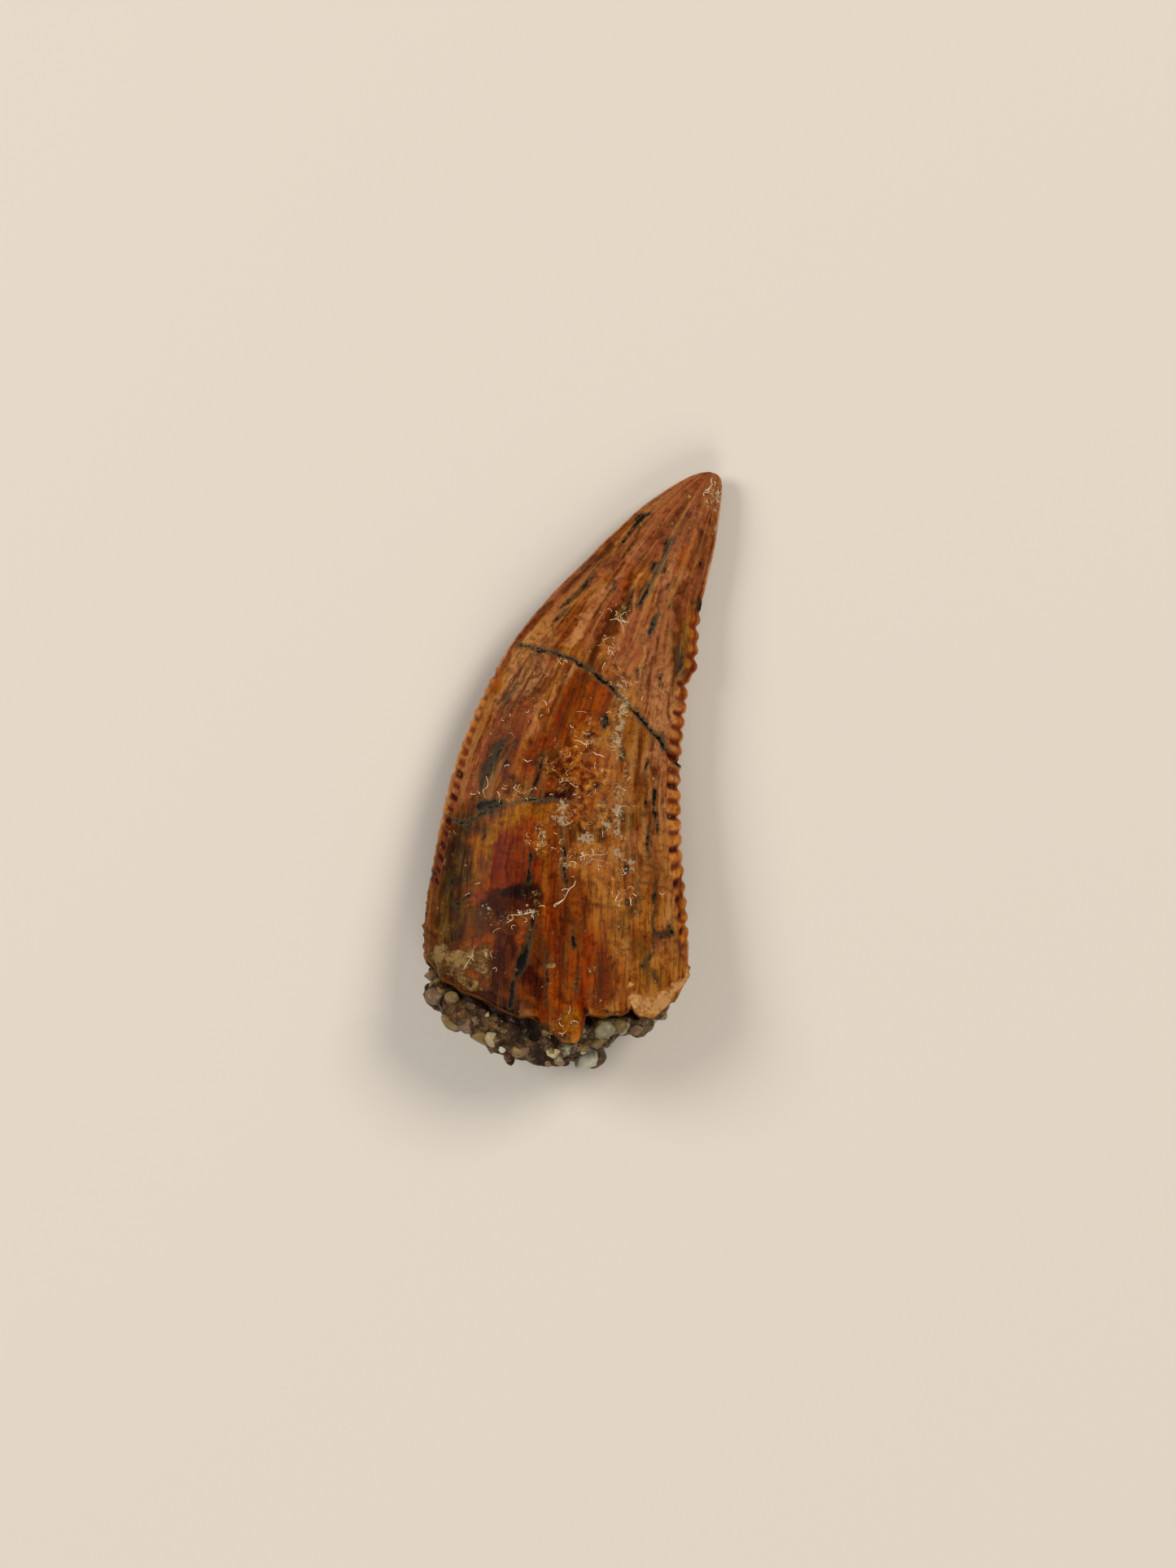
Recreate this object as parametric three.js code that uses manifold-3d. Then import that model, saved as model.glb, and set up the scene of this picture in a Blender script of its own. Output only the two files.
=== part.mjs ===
// A fossil abelisaurid tooth lying on its flatter face, in millimetres, +Z up.
// The crown is a cone that is flattened and bent between its two serrated edges, the mesial one
// on the left (-X) and the distal one on the right (+X). Its tip is towards +Y. The broken base
// holds a plug of cemented quartz sand, which crusts over the break.
// The origin is the middle of the tooth's footprint, on the surface it lies on.

import * as THREE from "three";
import { mergeVertices } from "three/addons/utils/BufferGeometryUtils.js";
import Module from "manifold-3d";

const wasm = await Module();
wasm.setup();

const { lerp, clamp, seededRandom } = THREE.MathUtils;

// Driving dimensions
const UPPER_RISE = 2.15; // from the carinae up to the crest of the upper face, at the base
const LOWER_DROP = 1.85; // from the carinae down to the surface it lies on, at the base
const THINNING = 0.62; // power by which both get thinner towards the tip
const REST_LENGTH = 0.45; // share of the crown's length that lies flat
const TIP_LIFT = 0.45; // height of the tip's middle over the surface
const REST_WIDENING = 1.12; // how far the lower face is pushed into its flat resting band
const MESIAL_FULLNESS = 0.7; // power of the section's rise at the blunt mesial edge
const DISTAL_FULLNESS = 0.92; // and at the sharper distal edge

const SOCKET_DEPTH = 1.5; // of the pulp cavity that the sand fills
const SOCKET_SHARE = 0.76; // of the crown's section that the cavity takes at its mouth
const SOCKET_TAPER = 0.8; // of the mouth's size that is left at the cavity's end
const JOINT_GAP = 0.06; // between crown and sand

const BASE_BEND = 0.4; // share of the crown's length over which rows straighten from the break
const CRACK_WIDTH = 0.16;
const CRACK_DEPTH = 0.12;

const CROWN_SIDES = 26; // facets round the crown
const CROWN_ROWS = 34; // and along it
const CAVITY_SIDES = 20;

const CRUST_COLUMNS = 13; // of sand lumps across the break
const CRUST_LEVELS = [-0.68, -0.25, 0.2, 0.62]; // of each column, as in crownPoint
const CORE_SHARE = 0.8; // of the break's section that the crust's solid core takes
const CORE_DEPTH = 0.55; // share of the crust's depth that the core fills

// Edges of the crown, from the broken base up to the tip
const mesialEdge = edgeCurve([
  [-4.56, -5.85],
  [-4.56, -4.6],
  [-4.26, -2.4],
  [-3.72, -0.1],
  [-2.88, 2.1],
  [-1.58, 4.3],
  [0.55, 6.6],
  [1.32, 7.34],
  [2.12, 8.08],
  [3.24, 8.86],
  [4.24, 9.2],
]);
const distalEdge = edgeCurve([
  [3.52, -6.2],
  [3.5, -4.6],
  [3.36, -2.4],
  [3.33, -0.1],
  [3.52, 2.1],
  [3.78, 3.3],
  [3.98, 5.1],
  [4.32, 6.6],
  [4.56, 8.0],
  [4.62, 8.75],
  [4.24, 9.2],
]);

// Drop of the broken rim below the line between the edges' lower ends, by place across the crown,
// on the upper face. The lower face breaks off in one even arc.
const LOWER_RIM_DROP = 1.5;
const RIM_DROP = [
  [0, 0],
  [0.07, 0.62],
  [0.2, 1.12],
  [0.33, 1.5],
  [0.46, 1.78],
  [0.55, 2.2],
  [0.6, 1.66],
  [0.64, 1.36],
  [0.78, 1.3],
  [0.86, 1.42],
  [0.95, 0.9],
  [1, 0],
];

// Depth of the sand crust below that rim
const CRUST_DEPTH = [
  [0, 0.8],
  [0.09, 1.13],
  [0.28, 1.39],
  [0.41, 1.46],
  [0.5, 1.21],
  [0.57, 0.8],
  [0.62, 1.3],
  [0.68, 1.1],
  [0.74, 0.75],
  [0.8, 0.65],
  [0.88, 0.4],
  [1, 0.15],
];

// The two rows of denticles: where each starts and ends along its edge, and its lobes' half sizes
const DENTICLES = [
  {
    edge: mesialEdge,
    outward: -1,
    from: 0.1,
    to: 0.57,
    count: 22,
    inset: 0.24,
    raise: 0.36,
    half: [0.3, 0.22, 0.26],
  },
  {
    edge: distalEdge,
    outward: 1,
    from: 0.05,
    to: 0.74,
    count: 25,
    inset: 0.23,
    raise: 0.06,
    half: [0.35, 0.235, 0.34],
  },
];

// The crack that crosses the upper face, as places [along, across] the crown
const CRACK = [
  [0.553, -0.01],
  [0.553, 0.18],
  [0.55, 0.3],
  [0.54, 0.42],
  [0.53, 0.52],
  [0.497, 0.68],
  [0.455, 0.84],
  [0.417, 0.95],
  [0.4, 1.01],
];

// Whole grains that stand out of the crust: [x, y, z, half sizes]
const LARGE_GRAINS = [
  [0.42, -8.86, 2.2, [0.46, 0.33, 0.36]],
  [-0.55, -8.62, 2.75, [0.27, 0.25, 0.26]],
  [-3.72, -7.0, 2.75, [0.27, 0.27, 0.25]],
  [-4.16, -6.32, 2.15, [0.3, 0.3, 0.3]],
  [-4.02, -7.0, 2.0, [0.36, 0.34, 0.34]],
  [-2.0, -8.82, 1.8, [0.24, 0.34, 0.28]],
  [0.98, -8.05, 2.7, [0.4, 0.24, 0.28]],
  [1.98, -8.02, 2.0, [0.3, 0.26, 0.3]],
];

const ENAMEL = new THREE.MeshStandardMaterial({ color: "#a8602c", roughness: 0.38, metalness: 0 });
const SANDSTONE = new THREE.MeshStandardMaterial({ color: "#9c8a6e", roughness: 0.85, metalness: 0 });

function edgeCurve(points) {
  const corners = points.map(([x, y]) => new THREE.Vector3(x, y, 0));
  return new THREE.CatmullRomCurve3(corners, false, "catmullrom", 0.5);
}

// Straight-line interpolation in a list of [place, value] pairs
function readAlong(pairs, place) {
  const next = Math.max(1, pairs.findIndex(([at]) => at >= place));
  const [from, low] = pairs[next - 1];
  const [to, high] = pairs[next];
  return lerp(low, high, clamp((place - from) / (to - from), 0, 1));
}

// Height of the section over the carinae, from 0 at an edge to 1 at the crest
function sectionRise(across) {
  const fullness = lerp(MESIAL_FULLNESS, DISTAL_FULLNESS, across);
  return Math.pow(Math.max(0, 4 * across * (1 - across)), fullness);
}

// A point of the crown. along runs from 0 at the broken rim to 1 at the tip, and below 0 it goes
// on in millimetres past the rim. across runs from 0, mesial, to 1, distal. level is 1 on the
// upper face, -1 on the lower face and 0 between the carinae.
function crownPoint(along, across, level) {
  const up = clamp(along, 0, 1);
  const point = mesialEdge.getPointAt(up).lerp(distalEdge.getPointAt(up), across);
  const rise = sectionRise(clamp(across, 0, 1));
  const upperDrop = readAlong(RIM_DROP, clamp(across, 0, 1));
  const drop = lerp(LOWER_RIM_DROP * rise, upperDrop, clamp((level + 1) / 2, 0, 1));
  point.y -= drop * Math.pow(Math.max(0, 1 - up / BASE_BEND), 2) - Math.min(0, along);

  const thinness = Math.pow(1 - up, THINNING);
  const lift = TIP_LIFT * Math.pow(Math.max(0, (up - REST_LENGTH) / (1 - REST_LENGTH)), 2);
  const carina = LOWER_DROP * thinness + lift;
  const reach = level > 0 ? UPPER_RISE * rise : LOWER_DROP * Math.min(1, rise * REST_WIDENING);
  point.z = carina + reach * thinness * level;
  return point;
}

// Bends a unit cylinder or cone into the crown's shape, or into a share of its section
function bendAlongCrown(geometry, placeAt, shareAt = () => 1) {
  const corner = new THREE.Vector3();
  const position = geometry.getAttribute("position");
  const { radiusTop, radiusBottom } = geometry.parameters;
  for (let i = 0; i < position.count; i++) {
    corner.fromBufferAttribute(position, i);
    const height = corner.y + 0.5;
    const share = shareAt(height) / (lerp(radiusBottom, radiusTop, height) || 1);
    const level = Math.sign(corner.z) * Math.hypot(corner.x, corner.z) * share;
    const across = 0.5 + 0.5 * corner.x * share;
    corner.copy(crownPoint(placeAt(height, across), across, level));
    position.setXYZ(i, corner.x, corner.y, corner.z);
  }
  return geometry;
}

function toSolid(geometry) {
  const bare = geometry.clone().deleteAttribute("normal").deleteAttribute("uv");
  const merged = mergeVertices(bare, 1e-4);
  return new wasm.Manifold(
    new wasm.Mesh({
      numProp: 3,
      vertProperties: new Float32Array(merged.getAttribute("position").array),
      triVerts: new Uint32Array(merged.index.array),
    }),
  );
}

function toMesh(name, solid, material) {
  const { vertProperties, triVerts } = solid.getMesh();
  const geometry = new THREE.BufferGeometry();
  geometry.setAttribute("position", new THREE.BufferAttribute(vertProperties, 3));
  geometry.setIndex(new THREE.BufferAttribute(triVerts, 1));
  geometry.computeVertexNormals();
  const mesh = new THREE.Mesh(geometry, material);
  mesh.name = name;
  return mesh;
}

const joinAll = (solids) => solids.reduce((whole, solid) => whole.add(solid));

// One lobe at each step along a carina, standing across the edge and smaller at the row's ends
function denticleRow({ edge, outward, from, to, count, inset, raise, half }) {
  const lobes = [];
  for (let i = 0; i < count; i++) {
    const share = (i + 0.5) / count;
    const along = lerp(from, to, share);
    const size = 0.55 + 0.45 * Math.min(1, 5 * share, 3.5 * (1 - share));
    const tangent = edge.getTangentAt(along);
    const out = new THREE.Vector3(tangent.y * outward, -tangent.x * outward, 0);
    const centre = crownPoint(along, outward > 0 ? 1 : 0, 0);
    centre.addScaledVector(out, -inset * size);
    centre.z += raise * (1 - along);
    const turn = new THREE.Quaternion().setFromUnitVectors(new THREE.Vector3(1, 0, 0), out);
    const lobe = new THREE.SphereGeometry(1, 8, 4).rotateX(Math.PI / 2);
    const sizes = new THREE.Vector3(...half).multiplyScalar(size);
    lobe.applyMatrix4(new THREE.Matrix4().compose(centre, turn, sizes));
    lobes.push(toSolid(lobe));
  }
  return joinAll(lobes);
}

// A thin prism that follows the crack just over and under the upper face
function crackGroove() {
  const path = new THREE.CatmullRomCurve3(
    CRACK.map(([along, across]) => crownPoint(along, across, 1)),
  );
  const steps = 30;
  const section = new THREE.Shape([
    new THREE.Vector2(-CRACK_DEPTH, 0),
    new THREE.Vector2(0, -CRACK_WIDTH / 2),
    new THREE.Vector2(CRACK_DEPTH, 0),
    new THREE.Vector2(0, CRACK_WIDTH / 2),
  ]);
  return toSolid(new THREE.ExtrudeGeometry(section, { steps, bevelEnabled: false, extrudePath: path }));
}

// The whole crown without its denticles, from startAlong to the tip, its rows closer near the tip
function crownBody(startAlong, share) {
  const cone = new THREE.CylinderGeometry(0, 1, 1, CROWN_SIDES, CROWN_ROWS);
  const placeAt = (height) => (height === 0 ? startAlong : 1 - Math.pow(1 - height, 1.5));
  return toSolid(bendAlongCrown(cone, placeAt, () => share));
}

// The hollow in the broken end, which runs on well past the rim, smaller all round by the gap
function pulpCavity(gap) {
  const below = -3;
  const end = (SOCKET_DEPTH - gap) / distalEdge.getLength();
  const share = SOCKET_SHARE - gap / LOWER_DROP;
  return toSolid(
    bendAlongCrown(
      new THREE.CylinderGeometry(1, 1, 1, CAVITY_SIDES, 4),
      (height) => lerp(below, end, height),
      (height) => share * (height === 1 ? SOCKET_TAPER : 1),
    ),
  );
}

function makeCrown() {
  return joinAll([crownBody(0, 1), ...DENTICLES.map(denticleRow)])
    .subtract(crackGroove())
    .subtract(pulpCavity(0));
}

// One rough lump of sand, turned by a number from 0 to 1
function sandLump(geometry, centre, half, turn) {
  geometry.rotateX(turn * 5).rotateY(turn * 3).scale(...half);
  return toSolid(geometry.translate(centre.x, centre.y, centre.z));
}

// Lumps in columns across the break, each column in layers from the lower face to the upper one
function crustLumps() {
  seededRandom(7);
  const lumps = [];
  for (let i = 0; i < CRUST_COLUMNS; i++) {
    const across = lerp(0.062, 0.965, i / (CRUST_COLUMNS - 1));
    const depth = readAlong(CRUST_DEPTH, across);
    CRUST_LEVELS.forEach((level) => {
      const radius = Math.min(0.24 + depth / 4, lerp(0.4, 0.56, seededRandom()));
      const below = Math.max(0, depth - 0.85 * radius) * lerp(0.9, 1, seededRandom());
      const centre = crownPoint(-below, across + 0.02 * (seededRandom() - 0.5), level);
      const half = [radius, radius, radius * 0.9];
      lumps.push(sandLump(new THREE.IcosahedronGeometry(1), centre, half, seededRandom()));
    });
  }
  return lumps;
}

function makeSandMatrix() {
  const wholeGrains = LARGE_GRAINS.map(([x, y, z, half], i) => {
    const turn = i / LARGE_GRAINS.length;
    return sandLump(new THREE.DodecahedronGeometry(1), new THREE.Vector3(x, y, z), half, turn);
  });
  const plug = pulpCavity(JOINT_GAP);
  const core = toSolid(
    bendAlongCrown(
      new THREE.CylinderGeometry(1, 1, 1, CAVITY_SIDES, 2),
      (height, across) => lerp(-CORE_DEPTH * readAlong(CRUST_DEPTH, across), 0.02, height),
      () => CORE_SHARE,
    ),
  );
  const crust = joinAll([core, ...crustLumps(), ...wholeGrains]);
  const crownAndGap = crownBody(-JOINT_GAP, 1 + JOINT_GAP / 3);
  const pieces = crust.subtract(crownAndGap.subtract(plug)).decompose();
  // The cut can leave a loose sliver beside the rim, so only the main body is kept
  return pieces.sort((a, b) => b.volume() - a.volume())[0];
}

const tooth = new THREE.Group();
tooth.add(toMesh("crown", makeCrown(), ENAMEL));
tooth.add(toMesh("sand_matrix", makeSandMatrix(), SANDSTONE));

export default tooth;
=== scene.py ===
import math
import random

import bmesh
import bpy
import numpy as np
from mathutils import Matrix, Vector, noise
from mathutils.bvhtree import BVHTree
from mathutils.kdtree import KDTree


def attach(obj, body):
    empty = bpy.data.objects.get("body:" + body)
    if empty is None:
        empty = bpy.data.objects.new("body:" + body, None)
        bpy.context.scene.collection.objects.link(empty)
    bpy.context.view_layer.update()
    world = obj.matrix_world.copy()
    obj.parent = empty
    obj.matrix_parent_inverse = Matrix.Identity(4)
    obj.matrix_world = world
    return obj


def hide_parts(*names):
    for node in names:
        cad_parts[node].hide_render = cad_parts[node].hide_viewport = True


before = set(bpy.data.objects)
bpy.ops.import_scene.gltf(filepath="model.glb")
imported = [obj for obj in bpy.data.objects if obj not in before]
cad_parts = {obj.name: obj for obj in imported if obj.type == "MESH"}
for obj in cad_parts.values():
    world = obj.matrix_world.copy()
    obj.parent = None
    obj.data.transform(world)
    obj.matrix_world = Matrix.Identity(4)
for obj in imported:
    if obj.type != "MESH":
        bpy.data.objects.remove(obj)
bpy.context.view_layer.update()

# A small fossil tooth with two serrated edges, its broken base plugged with cemented sand.
# Shapes are worked out in millimetres, in the frame's own axes, and scaled to metres at the end.
mm = 0.001


# Small helpers

def toLinear(hexColour):
    channels = [int(hexColour[i:i + 2], 16) / 255 for i in (1, 3, 5)]
    return [c / 12.92 if c <= 0.04045 else ((c + 0.055) / 1.055) ** 2.4 for c in channels] + [1.0]


def addNode(tree, kind, inputs=(), output=0, stops=(), **settings):
    # Adds a node, fills or links its inputs, and gives back the output that the next node reads
    node = tree.nodes.new("ShaderNode" + kind)
    for name, value in settings.items():
        setattr(node, name, value)
    for name, value in inputs.items() if isinstance(inputs, dict) else enumerate(inputs):
        if isinstance(value, bpy.types.NodeSocket):
            tree.links.new(value, node.inputs[name])
        else:
            node.inputs[name].default_value = toLinear(value) if isinstance(value, str) else value
    if stops:
        ramp = node.color_ramp
        while len(ramp.elements) < len(stops):
            ramp.elements.new(0.5)
        for element, (position, colour) in zip(ramp.elements, stops):
            element.position = position
            element.color = toLinear(colour)
    return node.outputs[output] if node.outputs else None


def newMaterial(name):
    material = bpy.data.materials.new(name)
    material.use_nodes = True
    material.node_tree.nodes.clear()
    return material, material.node_tree


def smoothStep(low, high, values):
    share = np.clip((values - low) / (high - low), 0, 1)
    return share * share * (3 - 2 * share)


def roughNoise(points, scale, octaves=3, shift=0.0):
    # scale counts the noise's cells in each millimetre, for one axis or for all
    scaled = np.asarray(points) * np.asarray(scale) + shift
    flat = scaled.reshape(-1, 3)
    values = [noise.fractal(p, 1.0, 2.0, octaves) for p in flat.tolist()]
    return np.array(values).reshape(scaled.shape[:-1])


def rotated(x, y, degrees):
    c, s = math.cos(math.radians(degrees)), math.sin(math.radians(degrees))
    return x * c - y * s, x * s + y * c


def meshFrom(shape, name):
    # Writes a bmesh to a new mesh and lets it go
    mesh = bpy.data.meshes.new(name)
    shape.to_mesh(mesh)
    shape.free()
    return mesh


def finalMesh(piece):
    return bpy.data.meshes.new_from_object(piece.evaluated_get(bpy.context.evaluated_depsgraph_get()))


def addPiece(name, data):
    piece = bpy.data.objects.new(name, data)
    bpy.context.scene.collection.objects.link(piece)
    return piece


def finishPiece(piece, material, slotName, *replaced):
    piece.data.materials.append(material)
    for face in piece.data.polygons:
        face.use_smooth = True
    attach(piece, "root")
    if replaced:
        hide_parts(*replaced)
    print(piece.name, "made with", len(piece.data.polygons), "faces")
    return piece


# Camera, straight above the tooth, and a plain pale floor with soft light

studio = {
    "lens": 85,
    "sensor": 36,
    "clip": (1, 10000),  # nearest and farthest that the camera sees, in mm
    "frameHeight": 48.18,  # height of the picture, measured in the plane through the tooth's middle
    "planeHeight": 1.8,
    "aim": (0.45, -0.5),
    "floorColour": "#ccc9c3",
    "floorSize": 1600,
    "floorDrop": 0.02,  # the floor lies this far below the tooth, so that no two faces share a plane
    "ambient": 0.2,
    "ambientColour": "#f3f1ee",
    # place in mm, size in mm, power in watts, colour
    "lamps": [
        ("softboxRight", (150, 110, 190), 130, 0.47, "#fff1e0"),
        ("softboxLeft", (-170, 60, 150), 110, 0.36, "#fff6ec"),
        ("softboxFront", (10, -190, 140), 130, 0.23, "#fff4e8"),
    ],
}


def makeStudio(values):
    scene = bpy.context.scene
    camera = addPiece("camera", bpy.data.cameras.new("camera"))
    camera.data.lens = values["lens"]
    camera.data.sensor_width = values["sensor"]
    camera.data.clip_start, camera.data.clip_end = (reach * mm for reach in values["clip"])
    distance = values["frameHeight"] * values["lens"] / values["sensor"]
    camera.location = Vector((*values["aim"], values["planeHeight"] + distance)) * mm
    scene.camera = camera
    scene.view_settings.view_transform = "Standard"

    world = bpy.data.worlds.new("studio")
    world.use_nodes = True
    background = world.node_tree.nodes["Background"].inputs
    background["Color"].default_value = toLinear(values["ambientColour"])
    background["Strength"].default_value = values["ambient"]
    scene.world = world

    for name, place, size, power, colour in values["lamps"]:
        lamp = bpy.data.lights.new(name, "AREA")
        lamp.shape = "DISK"
        lamp.size = size * mm
        lamp.energy = power
        lamp.color = toLinear(colour)[:3]
        holder = addPiece(name, lamp)
        holder.location = Vector(place) * mm
        holder.rotation_euler = (-holder.location).to_track_quat("-Z", "Y").to_euler()

    grid = bmesh.new()
    bmesh.ops.create_grid(grid, x_segments=1, y_segments=1, size=values["floorSize"] / 2 * mm)
    floor = addPiece("floor", meshFrom(grid, "floor"))
    floor.location.z = -values["floorDrop"] * mm
    material, tree = newMaterial("mattePaper")  # uncoated paper: no gloss, so its shadows stay soft
    shader = addNode(tree, "BsdfPrincipled", {
        "Base Color": values["floorColour"], "Roughness": 0.9, "Specular IOR Level": 0.2})
    addNode(tree, "OutputMaterial", [shader])
    floor.data.materials.append(material)


makeStudio(studio)
print("studio set")


# The crown: enamel over dentine, one closed surface from the hollow in its broken base to the tip

crown = {
    "upperRise": 2.15,  # how far the upper face stands above the two edges at the base
    "lowerDrop": 1.85,  # how far the lower face hangs below them
    "thinning": 0.62,  # how both shrink towards the tip, as a power of the length that is left
    "restLength": 0.45,  # share of the length that rests on the floor
    "tipLift": 0.45,  # how far the edges rise from there to the tip
    "restWidening": 1.12,  # width and squareness of the flat band that the tooth rests on
    "restFlatness": 9,
    "fullness": (0.7, 0.92),  # at the mesial and the distal edge
    "length": 15.6,
    "baseBend": 0.4,  # share of the length over which the drop of the rim dies out
    "lowerRimDrop": 1.5,
    "socketDepth": 1.5,
    "socketShare": 0.77,  # width of the socket, as a share of the crown's
    "socketTaper": 0.8,
    "socketBends": (0.25, 0.7),  # shares of its rows where the end meets the wall, and the wall the rim
    "rimBulge": 0.1,
    # The two edges from the base to the tip
    "mesialEdge": [(-4.56, -5.85), (-4.56, -4.6), (-4.26, -2.4), (-3.72, -0.1), (-2.88, 2.1),
                   (-1.58, 4.3), (0.55, 6.6), (1.32, 7.34), (2.12, 8.08), (3.24, 8.86), (3.84, 9.14),
                   (4.24, 9.2)],
    "distalEdge": [(3.52, -6.2), (3.5, -4.6), (3.36, -2.4), (3.33, -0.1), (3.5, 2.1), (3.6, 2.74),
                   (3.8, 3.04), (3.86, 3.9), (3.98, 5.1), (4.32, 6.6), (4.56, 8.0), (4.62, 8.75),
                   (4.52, 9.08), (4.24, 9.2)],
    # How far the broken upper rim hangs below the line between the edges: (across, drop)
    "rimDrop": [(0, 0), (0.07, 0.62), (0.2, 1.12), (0.33, 1.5), (0.46, 1.78), (0.55, 2.2), (0.6, 1.66),
                (0.64, 1.36), (0.78, 1.3), (0.86, 1.42), (0.95, 0.9), (1, 0)],
    # Chips and prongs on top of that, which die out a millimetre above the rim: (across, drop)
    "rimChips": [(0, 0), (0.042, -0.19), (0.07, -0.04), (0.11, -0.14), (0.15, -0.06), (0.21, -0.2),
                 (0.27, -0.1), (0.32, -0.09), (0.36, -0.04), (0.4, -0.17), (0.437, -0.04), (0.465, 0.1),
                 (0.49, 0.03), (0.52, 0.17), (0.55, 0.06), (0.577, 0.36), (0.592, 0.38), (0.598, 0.1),
                 (0.603, -0.29), (0.62, -0.2), (0.64, 0), (0.676, 0.06), (0.71, -0.02), (0.74, 0.05),
                 (0.765, -0.07), (0.777, -0.3), (0.79, -0.24), (0.8, -0.05), (0.816, 0.03), (0.84, 0.0),
                 (0.87, 0.07), (0.907, 0.03), (0.931, -0.06), (0.962, 0.07), (0.991, 0.09), (1, 0)],
    "chipFade": 0.065,
    "upperColumns": 146,
    "lowerColumns": 44,
    "columnCrowding": (0.45, 0.85),  # towards the edges, on the upper and on the lower face
    "socketRows": 26,
    "crownRows": 474,
    "rowCrowding": 1.3,  # towards the tip
    "fibres": (8, 16.5, 0.6),  # how fast the fibres' own coordinates run across, along and up
    # Nothing in the stone is a clean oval or a ruled line, so noise stirs the places of the marks
    "stirring": {
        "slow": (0.9, 3, 0.45),  # noise cells in each mm, octaves, reach in mm
        "fine": (4.0, 2, 0.09),
        # How far each kind of stroke follows the fine one
        "strokes": {"ink": 0.5, "umber": 0.3, "chalk": 1.0, "cracks": 0.5},
        "steadyStains": ("lip", "crust", "slate", "sootAndRimShade"),
        "steadiness": 0.25,  # how far those follow the slow one
    },
    # Relief, in mm, and its noises: cells in each mm, octaves and shift
    "relief": {
        "unevenness": 0.03, "ridges": 0.014, "worn": 0.012, "crust": 0.13, "lip": 0.07,
        "crack": 0.09, "ink": 0.02, "socket": 0.06,
    },
    "reliefNoises": {
        "unevenness": (0.45, 2), "ridges": ((2.2, 0.15, 1.0), 2, 7.3), "worn": (5.0, 3),
        "crust": (2.8, 3), "lip": (3.4, 3), "socket": (2.0, 3),
    },
}


def edgeLine(points):
    # A smooth line through the points, read by its share of the length
    knots = np.array(points, float)
    knots = np.vstack([2 * knots[0] - knots[1], knots, 2 * knots[-1] - knots[-2]])
    steps = np.linspace(0, 1, 40, endpoint=False)[:, None]
    line = []
    for before, start, end, after in zip(knots, knots[1:], knots[2:], knots[3:]):
        leave, arrive = (end - before) / 2, (after - start) / 2
        bend = 3 * (end - start) - 2 * leave - arrive
        twist = 2 * (start - end) + leave + arrive
        line.append(start + steps * (leave + steps * (bend + steps * twist)))
    line = np.vstack([*line, knots[-2]])
    length = runOf(line)
    return lambda share: np.stack([np.interp(share * length[-1], length, line[:, k]) for k in (0, 1)], -1)


def runOf(line):
    # Distance along a line from its start to each of its points
    return np.concatenate([[0], np.cumsum(np.hypot(*np.diff(line, axis=0).T))])


mesialEdge = edgeLine(crown["mesialEdge"])
distalEdge = edgeLine(crown["distalEdge"])


def crownPoint(along, across, level):
    # along runs from the base to the tip, across from the mesial to the distal edge,
    # and level from -1 on the lower face to 1 on the upper face
    up = np.clip(along, 0, 1)
    side = np.clip(across, 0, 1)
    point = mesialEdge(up) * (1 - across)[..., None] + distalEdge(up) * across[..., None]
    fullness = crown["fullness"][0] * (1 - side) + crown["fullness"][1] * side
    rise = (4 * side * (1 - side)) ** fullness
    upperDrop = np.interp(side, *zip(*crown["rimDrop"]))
    upperShare = np.clip((level + 1) / 2, 0, 1)
    drop = crown["lowerRimDrop"] * rise * (1 - upperShare) + upperDrop * upperShare
    chips = np.interp(side, *zip(*crown["rimChips"])) * upperShare ** 2
    y = point[..., 1] - drop * np.maximum(0, 1 - up / crown["baseBend"]) ** 2 + np.minimum(0, along)
    y = y - chips * np.maximum(0, 1 - up / crown["chipFade"]) ** 2
    thinness = (1 - up) ** crown["thinning"]
    raised = np.maximum(0, (up - crown["restLength"]) / (1 - crown["restLength"]))
    carina = crown["lowerDrop"] * thinness + crown["tipLift"] * raised ** 2
    flattened = crown["restWidening"] * rise
    flatness = crown["restFlatness"]
    lowerReach = crown["lowerDrop"] * flattened / (1 + flattened ** flatness) ** (1 / flatness)
    reach = np.where(level > 0, crown["upperRise"] * rise, lowerReach)
    return np.stack([point[..., 0], y, carina + reach * thinness * level], -1)


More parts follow.
